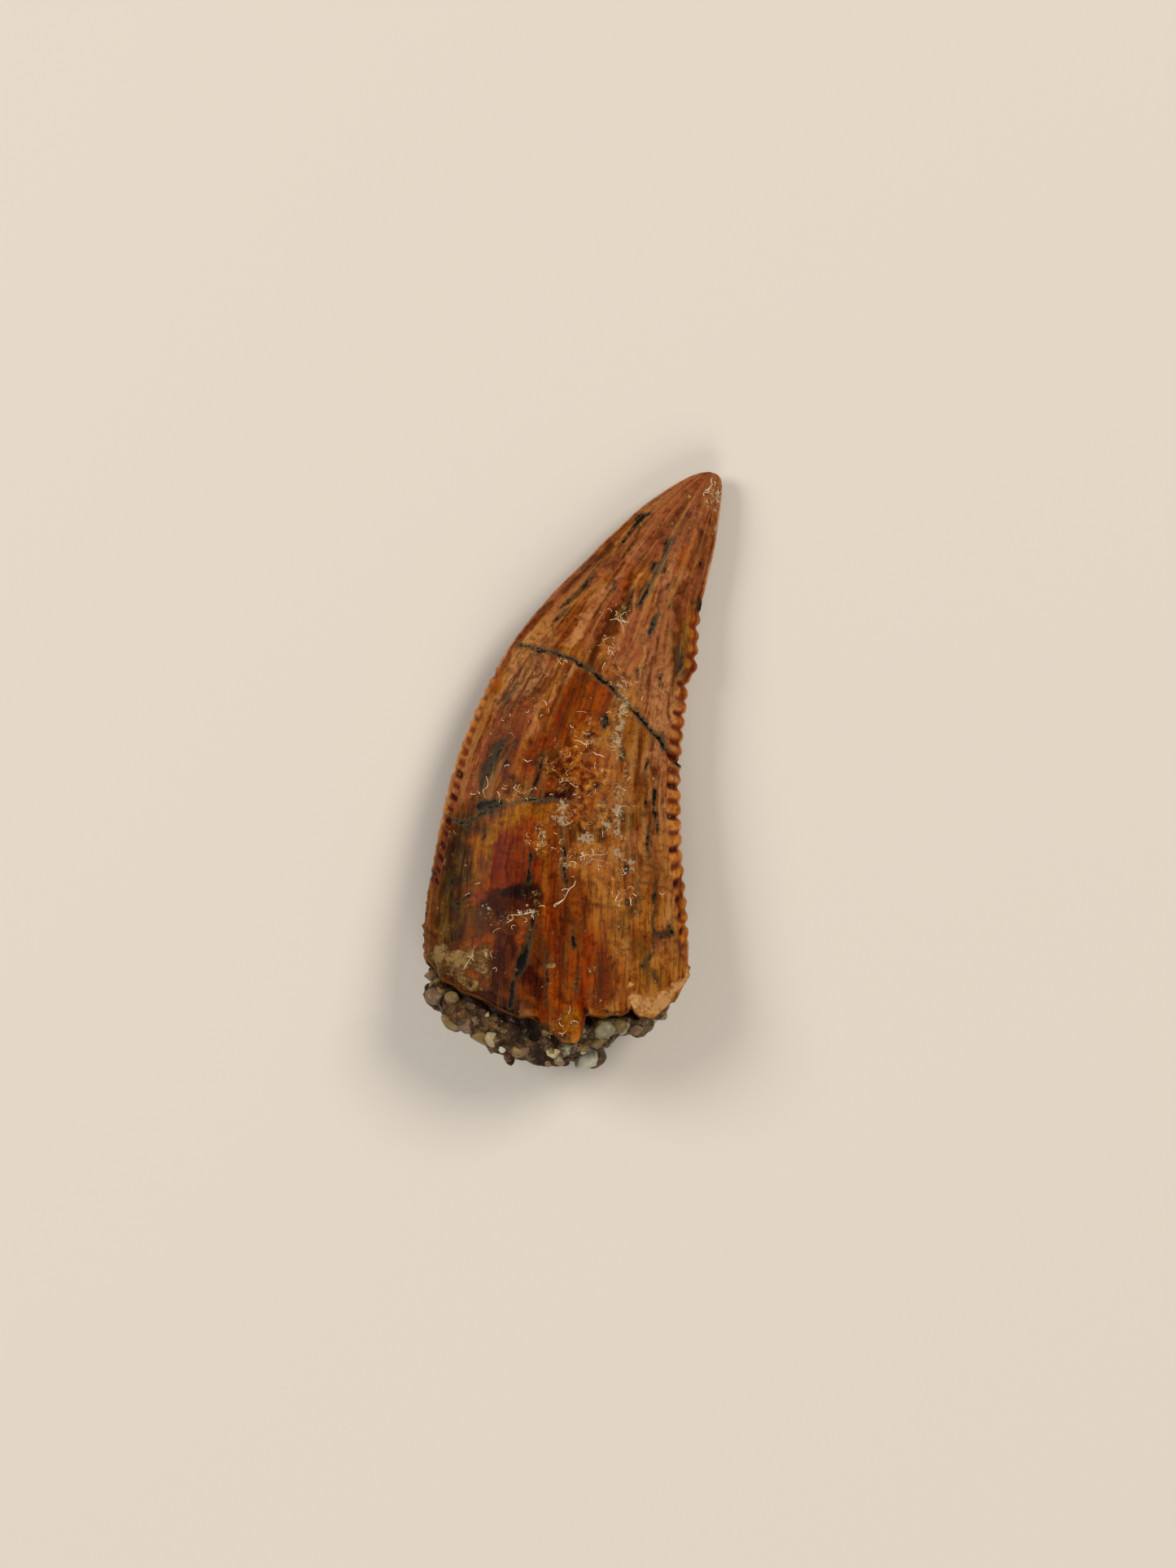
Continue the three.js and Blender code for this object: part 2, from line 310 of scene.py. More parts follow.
def crownGrid():
    # Places and natural coordinates of every point of the crown's surface, row by row
    columns = crown["upperColumns"] + crown["lowerColumns"]
    rows = crown["socketRows"] + crown["crownRows"]
    row, column = np.mgrid[0:rows + 1, 0:columns + 1].astype(float)
    onUpper = column <= crown["upperColumns"]
    share = np.where(onUpper, column / crown["upperColumns"],
                     1 - (column - crown["upperColumns"]) / crown["lowerColumns"])
    crowding = np.where(onUpper, *crown["columnCrowding"])
    across = crowding * (0.5 - 0.5 * np.cos(math.pi * share)) + (1 - crowding) * share
    side = np.where(onUpper, 1.0, -1.0)

    outer = row >= crown["socketRows"]
    height = np.clip((row - crown["socketRows"]) / crown["crownRows"], 0, 1)
    up = 1 - (1 - height) ** crown["rowCrowding"]
    # Inside, the rows open out from the socket's end, run down its wall and cross the broken rim
    inner = np.clip(row / crown["socketRows"], 0, 1)
    endRow, rimRow = crown["socketBends"]
    width = np.interp(inner, (0, endRow, rimRow, 1),
                      (0, crown["socketShare"] * crown["socketTaper"], crown["socketShare"], 1))
    depth = np.interp(inner, (0, endRow, rimRow - 0.04, rimRow + 0.08, 1), (1, 1, 0.03, 0, 0))
    bulge = crown["rimBulge"] * np.sin(math.pi * np.maximum(0, inner - rimRow) / (1 - rimRow))
    # The ends of the socket are rounded, and the broken rim keeps its corners
    closing = np.where(inner < rimRow + 0.15, np.sqrt(1 - np.abs(2 * across - 1) ** 6), 1)
    points = crownPoint(
        np.where(outer, up, depth * crown["socketDepth"] / crown["length"] - bulge),
        np.where(outer, across, 0.5 + (across - 0.5) * width),
        np.where(outer, side, side * width * closing),
    )
    return {"points": points, "across": across, "up": np.where(outer, up, 0), "side": side, "outer": outer}


def strokeGap(points, strokes):
    # Distance from each point to the nearest stroke's edge, negative inside it.
    # A stroke is a list of (x, y, half width)
    nearest = np.full(len(points), np.inf)
    for stroke in strokes:
        for (x0, y0, w0), (x1, y1, w1) in zip(stroke, stroke[1:]):
            start, span = np.array((x0, y0)), np.array((x1 - x0, y1 - y0))
            share = np.clip((points - start) @ span / max(span @ span, 1e-9), 0, 1)
            gap = np.hypot(*(points - start - share[:, None] * span).T) - (w0 + (w1 - w0) * share)
            nearest = np.minimum(nearest, gap)
    return nearest


def dabCover(points, dabs):
    # Cover from 0 to 1 by soft oval dabs: x, y, half length, half width, turn in degrees, strength
    fadedOut, full = 1.25, 0.45  # as shares of a dab's size
    left = np.ones(len(points))
    for x, y, length, width, turn, strength in dabs:
        along, aside = rotated(points[:, 0] - x, points[:, 1] - y, -turn)
        left *= 1 - strength * smoothStep(fadedOut, full, np.hypot(along / length, aside / width))
    return 1 - left


# The two rows of denticles. Places are measured along the edge from its base, in mm.
# inner and outer say how far in from the outline the hollow between two denticles lies
denticles = {
    "depth": 0.09,
    # These give each denticle a shift, a strength, a reach and a width of its own
    "scatter": (12.9898, 78.233, 37.719, 5.531),
    "mesial": {
        "pitch": 0.36, "from": 2.1, "to": 9.9, "shift": 0.1, "slope": 0.35, "hollow": 0.125, "scallop": 0.045,
        "outer": [(0, 0.12), (5.5, 0.12), (7, 0.04), (10, 0.0)],
        "inner": [(0, 0.44), (5.5, 0.5), (7, 0.36), (10, 0.18)],
        "pitShade": [(0, 0.5), (1.5, 0.7), (2.2, 1.0), (5.8, 1.0), (6.5, 0.6), (10, 0.3)],
        "bead": [(0, 0.0), (5.2, 0.1), (6.5, 0.8), (10, 0.9)],
    },
    "distal": {
        "pitch": 0.4575, "from": 0.75, "to": 11.7, "shift": 0.0, "slope": -0.1, "hollow": 0.115,
        "scallop": 0.11,
        "outer": [(0, 0.24), (2.5, 0.22), (4, 0.08), (12, 0.02)],
        "inner": [(0, 0.5), (3, 0.55), (6, 0.58), (12, 0.4)],
        "pitShade": [(0, 1.0), (2.5, 1.0), (3.5, 0.9), (7, 0.8), (8.5, 0.55), (12, 0.4)],
        "bead": [(0, 0.8), (3, 1.0), (5, 0.7), (12, 0.6)],
    },
}

# Where the mineral lines and stains lie on the upper face, in mm
marks = {
    # Cracks: the black one right across the crown and the thin one below it
    "cracks": [
        [(-1.74, 3.84, 0.02), (-1.62, 3.8, 0.055), (-1.5, 3.76, 0.035), (-1.2, 3.64, 0.03),
         (-0.93, 3.6, 0.055), (-0.7, 3.54, 0.03), (-0.4, 3.45, 0.045), (-0.1, 3.34, 0.035),
         (0.26, 3.14, 0.055), (0.5, 2.98, 0.03), (0.76, 2.79, 0.05), (1.0, 2.6, 0.045),
         (1.19, 2.44, 0.06), (1.4, 2.2, 0.045), (1.59, 2.04, 0.045), (1.8, 1.8, 0.03),
         (2.01, 1.59, 0.045), (2.2, 1.36, 0.035), (2.42, 1.13, 0.035), (2.62, 0.94, 0.095),
         (2.7, 0.84, 0.06), (2.84, 0.6, 0.03), (2.96, 0.42, 0.075), (3.05, 0.26, 0.035),
         (3.2, 0.17, 0.11), (3.3, 0.16, 0.06), (3.46, 0.12, 0.03)],
        [(-4.02, -1.5, 0.02), (-3.84, -1.54, 0.03), (-3.6, -1.62, 0.02), (-3.28, -1.68, 0.03),
         (-2.97, -1.55, 0.02), (-2.6, -1.25, 0.03), (-2.2, -1.06, 0.03), (-1.9, -1.12, 0.0),
         (-1.6, -1.02, 0.005), (-1.35, -0.96, 0.035), (-1.0, -1.0, 0.0), (-0.6, -0.97, 0.0),
         (-0.36, -1.02, -0.02), (0.1, -1.04, -0.03)],
    ],
    # Near-black streaks and spots of manganese
    "ink": [
        [(2.4, 7.84, 0.05), (2.15, 7.8, 0.09), (2.0, 7.64, 0.11), (1.86, 7.42, 0.06), (1.7, 7.24, 0.025)],
        [(1.94, 7.8, 0.05), (2.02, 7.66, 0.08)], [(1.6, 7.06, 0.02), (1.54, 6.95, 0.04)],
        [(2.92, 7.1, 0.04), (2.85, 6.88, 0.045)], [(2.46, 6.26, 0.05), (2.4, 6.1, 0.04)],
        [(2.56, 5.96, 0.03), (2.5, 5.82, 0.04)],
        [(2.33, 5.62, 0.03), (2.2, 5.38, 0.06), (2.06, 5.14, 0.045), (1.97, 5.0, 0.03)],
        [(1.84, 5.38, 0.02), (1.7, 5.12, 0.035), (1.6, 4.9, 0.055), (1.5, 4.66, 0.075)],
        [(2.52, 4.7, 0.03), (2.45, 4.45, 0.055), (2.38, 4.2, 0.05), (2.34, 4.02, 0.015)],
        [(2.93, 5.62, 0.045), (2.89, 5.52, 0.04)], [(2.95, 4.95, 0.035), (2.93, 4.9, 0.03)],
        [(3.89, 6.3, 0.03), (3.89, 6.26, 0.025)], [(3.87, 6.78, 0.02), (3.86, 6.74, 0.015)],
        [(0.68, 6.04, 0.02), (0.52, 5.8, 0.035), (0.35, 5.57, 0.03), (0.1, 5.34, 0.015),
         (-0.12, 5.14, 0.03), (-0.38, 4.93, 0.02)],
        [(-0.08, 4.93, 0.02), (-0.2, 4.82, 0.05), (-0.3, 4.74, 0.035), (-0.5, 4.56, 0.05),
         (-0.6, 4.5, 0.02)], [(1.31, 5.68, 0.03), (1.22, 5.46, 0.035), (1.15, 5.38, 0.015)],
        [(3.97, 5.14, 0.06), (3.92, 4.96, 0.09), (3.9, 4.88, 0.04)],
        [(3.72, 5.1, 0.03), (3.7, 5.04, 0.02)], [(2.68, 2.82, 0.035), (2.66, 2.5, 0.03)],
        [(2.0, 2.98, 0.02), (1.97, 2.7, 0.02)], [(1.02, 1.5, 0.08), (1.0, 1.38, 0.12), (0.95, 1.2, 0.06)],
        [(1.55, 0.47, 0.045), (1.5, 0.3, 0.035)],
        [(2.25, 0.22, 0.045), (2.22, -0.1, 0.05), (2.2, -0.35, 0.035), (2.19, -0.6, 0.02)],
        [(2.2, -0.75, 0.02), (2.19, -1.1, 0.03)],
        [(2.5, -0.7, 0.045), (2.47, -0.95, 0.05), (2.49, -1.3, 0.03)],
        [(2.13, -1.42, 0.075), (2.18, -1.43, 0.06)], [(2.48, -1.38, 0.09), (2.52, -1.5, 0.08)],
        [(2.5, -1.45, 0.05), (2.55, -1.72, 0.065), (2.57, -1.95, 0.035), (2.58, -2.08, 0.015)],
        [(2.28, -1.75, 0.015), (2.28, -1.9, 0.025), (2.26, -2.06, 0.05), (2.26, -2.18, 0.02)],
        [(2.26, -2.26, 0.03), (2.26, -2.42, 0.045), (2.24, -2.6, 0.03), (2.26, -2.85, 0.02)],
        [(1.63, -3.02, 0.075), (1.62, -3.08, 0.06)], [(1.75, -2.68, 0.03), (1.72, -2.74, 0.02)],
        [(1.97, -3.45, 0.045), (1.95, -3.62, 0.035), (1.96, -3.8, 0.03), (2.0, -3.98, 0.065)],
        [(1.66, -4.06, 0.05), (1.74, -4.16, 0.035)], [(1.84, -4.16, 0.035), (1.84, -4.36, 0.05)],
        [(2.54, -3.4, 0.015), (2.5, -3.66, 0.025), (2.49, -3.9, 0.05), (2.48, -4.15, 0.02),
         (2.49, -4.4, 0.04), (2.47, -4.68, 0.03), (2.48, -4.95, 0.045), (2.45, -5.1, 0.02)],
        [(2.37, -5.68, 0.045), (2.31, -5.86, 0.035)], [(2.1, -6.02, 0.065), (2.16, -6.0, 0.05)],
        [(2.4, -6.22, 0.02), (2.45, -6.34, 0.045), (2.55, -6.5, 0.05)],
        [(2.93, -4.83, 0.06), (2.98, -4.98, 0.065), (3.05, -5.1, 0.04)],
        [(2.66, -5.18, 0.05), (2.72, -5.21, 0.04)], [(3.35, -5.5, 0.045), (3.33, -5.54, 0.03)],
        [(-0.36, -1.84, 0.085), (-0.34, -1.98, 0.07), (-0.28, -2.3, 0.05), (-0.29, -2.6, 0.07),
         (-0.25, -2.9, 0.05), (-0.27, -3.1, 0.09), (-0.22, -3.25, 0.05), (-0.24, -3.5, 0.065),
         (-0.22, -3.7, 0.02)],
        [(0.1, -4.7, 0.02), (-0.02, -5.0, 0.05), (0.02, -5.3, 0.085), (0.07, -5.46, 0.07)],
        [(0.14, -5.95, 0.02), (0.12, -6.4, 0.05), (0.09, -6.8, 0.045), (0.05, -7.02, 0.02)],
        [(-1.15, -4.3, 0.02), (-1.22, -4.6, 0.05), (-1.28, -4.95, 0.07), (-1.36, -5.25, 0.06),
         (-1.42, -5.55, 0.11), (-1.5, -5.85, 0.15), (-1.6, -6.08, 0.13), (-1.74, -6.3, 0.05)],
        [(-1.8, -6.5, 0.04), (-1.84, -6.72, 0.075), (-1.85, -6.95, 0.05), (-1.88, -7.22, 0.045)],
        [(-0.88, -5.4, 0.02), (-0.82, -5.75, 0.05), (-0.8, -6.05, 0.06), (-0.75, -6.45, 0.06),
         (-0.8, -6.75, 0.035), (-0.8, -7.2, 0.03)],
        [(-0.88, 0.34, 0.035), (-0.93, 0.16, 0.075), (-1.02, -0.1, 0.035), (-1.1, -0.3, 0.065),
         (-1.2, -0.56, 0.05), (-1.3, -0.72, 0.06), (-1.36, -0.92, 0.03)],
        [(-1.96, 1.0, 0.015), (-2.1, 0.72, 0.035), (-2.3, 0.45, 0.045), (-2.42, 0.2, 0.035),
         (-2.6, -0.1, 0.05)],
        [(-1.72, 0.86, 0.035), (-1.84, 0.62, 0.02), (-2.0, 0.2, 0.02), (-2.12, 0.06, 0.03)],
        [(-2.75, 0.2, 0.02), (-2.85, -0.1, 0.03), (-2.88, -0.4, 0.035)],
        [(-2.46, -0.06, 0.05), (-2.58, -0.2, 0.06), (-2.75, -0.3, 0.03)],
        [(-2.8, -1.2, 0.13), (-2.6, -1.12, 0.17), (-2.4, -1.08, 0.14), (-2.2, -1.05, 0.07)],
        [(-2.74, -1.4, 0.07), (-2.5, -1.3, 0.05)], [(-2.1, -1.42, 0.02), (-2.24, -1.5, 0.035)],
        [(-3.86, -1.5, 0.08), (-3.84, -1.62, 0.07)], [(-3.42, -1.66, 0.05), (-3.3, -1.7, 0.04)],
        [(-2.7, -2.02, 0.05), (-2.78, -2.2, 0.03)],
        [(-3.6, -3.2, 0.02), (-3.7, -3.5, 0.04), (-3.86, -3.85, 0.04)],
        [(-3.7, -4.1, 0.04), (-3.5, -4.18, 0.045), (-3.3, -4.02, 0.035), (-3.12, -3.9, 0.015)],
        [(-3.56, -4.2, 0.045), (-3.5, -4.4, 0.03)], [(-3.86, -4.96, 0.04), (-4.0, -5.16, 0.05)],
        [(-4.24, -3.2, 0.06), (-4.25, -3.4, 0.07)], [(-4.0, -2.75, 0.05), (-4.06, -2.9, 0.04)],
        [(-4.2, -5.95, 0.05), (-4.2, -6.1, 0.1), (-4.08, -6.28, 0.06)],
        [(-3.36, -6.27, 0.06), (-3.3, -6.3, 0.05)], [(-2.72, -6.36, 0.05), (-2.74, -6.5, 0.06)],
        [(-1.28, -2.6, 0.045), (-1.32, -2.95, 0.025), (-1.36, -3.5, 0.04)],
    ],
    # Thin dark red-brown lines between the fibres
    "umber": [
        [(-1.3, 3.5, 0.02), (-1.55, 3.1, 0.025), (-1.9, 2.6, 0.03), (-2.15, 2.2, 0.035),
         (-2.3, 1.95, 0.015)],
        [(-0.94, 3.4, 0.02), (-1.2, 2.95, 0.03), (-1.5, 2.45, 0.025), (-1.8, 1.95, 0.03),
         (-2.1, 1.35, 0.015)], [(-0.65, 3.35, 0.015), (-0.8, 3.0, 0.03), (-1.1, 2.5, 0.02)],
        [(-0.35, 3.3, 0.015), (-0.6, 2.75, 0.03), (-0.9, 2.3, 0.02)],
        [(-0.1, 3.1, 0.02), (-0.35, 2.5, 0.03), (-0.6, 1.9, 0.03), (-0.95, 1.1, 0.02)],
        [(0.2, 2.9, 0.02), (0.0, 2.3, 0.04), (-0.25, 1.6, 0.03), (-0.5, 0.9, 0.03)],
        [(0.45, 2.8, 0.03), (0.3, 2.2, 0.04), (0.1, 1.6, 0.03)],
        [(0.72, 2.6, 0.03), (0.6, 2.1, 0.045), (0.5, 1.7, 0.02)],
        [(-2.5, 1.6, 0.015), (-2.8, 1.0, 0.02), (-3.05, 0.4, 0.02)],
        [(1.07, 5.28, 0.015), (0.83, 4.98, 0.02), (0.6, 4.6, 0.01)],
        [(1.55, 6.3, 0.02), (1.3, 5.95, 0.03), (1.0, 5.5, 0.015)],
        [(2.75, 7.3, 0.05), (2.7, 7.18, 0.07), (2.6, 7.05, 0.03)], [(1.8, 5.95, 0.05), (1.72, 5.8, 0.06)],
        [(1.2, 6.85, 0.06), (1.02, 6.66, 0.09), (0.7, 6.4, 0.04)],
        [(0.2, 5.95, 0.05), (-0.1, 5.65, 0.06), (-0.3, 5.4, 0.03)],
        [(-0.7, 5.1, 0.04), (-1.1, 4.8, 0.05)], [(2.45, 0.84, 0.03), (2.4, 0.52, 0.045)],
        [(2.3, 0.24, 0.012), (2.4, -0.05, 0.02), (2.52, -0.24, 0.02)],
        [(3.1, 3.62, 0.025), (3.11, 3.2, 0.035), (3.07, 2.6, 0.03), (3.02, 2.2, 0.015)],
        [(2.3, 3.6, 0.012), (2.15, 3.0, 0.025), (2.05, 2.4, 0.015)],
        [(2.95, 2.3, 0.015), (2.9, 1.6, 0.02)], [(2.6, 4.0, 0.015), (2.5, 3.2, 0.02)],
        [(2.4, 3.4, 0.012), (2.3, 2.3, 0.02), (2.25, 1.8, 0.012)],
        [(1.48, 2.3, 0.02), (1.35, 1.5, 0.03), (1.4, 1.0, 0.02)],
        [(2.05, 1.2, 0.015), (2.0, 0.4, 0.02), (1.95, -0.5, 0.012)],
        [(2.15, -3.52, 0.012), (2.4, -3.56, 0.018), (2.52, -3.68, 0.02), (2.76, -3.65, 0.015),
         (3.05, -3.82, 0.022)], [(2.0, -2.9, 0.015), (2.3, -2.96, 0.012), (2.55, -3.1, 0.02)],
        [(1.98, -2.7, 0.01), (2.35, -2.72, 0.015)],
        [(-0.06, -4.12, 0.018), (0.2, -4.1, 0.025), (0.54, -4.12, 0.02), (0.78, -4.2, 0.025),
         (0.95, -4.2, 0.012)], [(0.15, -3.1, 0.015), (0.12, -3.7, 0.02)],
        [(0.55, -3.2, 0.012), (0.52, -3.9, 0.018)], [(0.36, -4.2, 0.015), (0.35, -5.0, 0.02)],
        [(0.75, -5.6, 0.025), (0.8, -6.2, 0.045), (0.82, -6.9, 0.04)],
        [(1.3, -5.4, 0.012), (1.5, -5.55, 0.02), (1.7, -5.5, 0.01)],
        [(-2.1, -0.3, 0.04), (-2.28, -0.62, 0.05), (-2.4, -0.9, 0.025)],
        [(-1.7, -0.45, 0.05), (-1.85, -0.75, 0.04)], [(-2.05, -4.85, 0.07), (-1.9, -4.97, 0.08)],
        [(-2.62, -4.5, 0.05), (-2.45, -4.62, 0.06)],
        [(-3.85, -5.5, 0.05), (-3.6, -5.42, 0.1), (-3.45, -5.55, 0.05)],
        [(-1.95, -5.4, 0.04), (-1.98, -5.9, 0.06), (-2.02, -6.3, 0.03)],
        [(-0.3, -5.2, 0.03), (-0.3, -5.8, 0.04), (-0.28, -6.6, 0.03)],
        [(-3.0, -4.3, 0.015), (-3.02, -5.0, 0.025)],
        [(3.3, -3.35, 0.035), (3.24, -3.65, 0.03), (3.3, -3.95, 0.045), (3.24, -4.2, 0.045),
         (3.28, -4.5, 0.03)], [(3.12, -4.6, 0.02), (3.35, -4.72, 0.03)],
        [(3.1, -5.3, 0.04), (3.25, -5.4, 0.04)],
    ],
    # Chalky white wear and dust
    "chalk": [
        [(1.5, 2.2, 0.1), (1.6, 1.95, 0.12), (1.46, 1.6, 0.1), (1.4, 1.1, 0.1), (1.3, 0.7, 0.12),
         (1.4, 0.45, 0.06)],
        [(1.38, -0.5, 0.04), (1.36, -0.95, 0.06), (1.33, -1.3, 0.1), (1.38, -1.6, 0.11),
         (1.27, -1.85, 0.08), (1.34, -2.05, 0.12), (1.5, -2.15, 0.07)],
        [(1.25, -2.45, 0.08), (1.32, -2.62, 0.07), (1.55, -2.8, 0.05)],
        [(1.75, -2.95, 0.04), (1.8, -3.0, 0.03)],
        [(-0.36, -1.15, 0.12), (-0.33, -1.35, 0.15), (-0.36, -1.6, 0.11)],
        [(0.36, -2.14, 0.09), (0.5, -2.2, 0.07)], [(0.95, -1.7, 0.06), (1.05, -1.8, 0.06)],
        [(-0.2, -2.85, 0.06), (-0.15, -3.0, 0.08)], [(-0.95, -1.9, 0.05), (-0.92, -2.1, 0.06)],
        [(-2.6, -4.25, 0.04), (-2.55, -4.45, 0.045)], [(-1.25, -4.32, 0.045), (-1.1, -4.4, 0.045)],
        [(4.3, 8.95, 0.02), (4.24, 8.6, 0.045)], [(4.5, 8.45, 0.04), (4.52, 8.3, 0.03)],
        [(4.48, 8.05, 0.05), (4.46, 7.96, 0.05)], [(4.4, 7.42, 0.05), (4.34, 7.28, 0.04)],
        [(1.35, 2.55, 0.05), (1.52, 2.4, 0.07)],
    ],
}

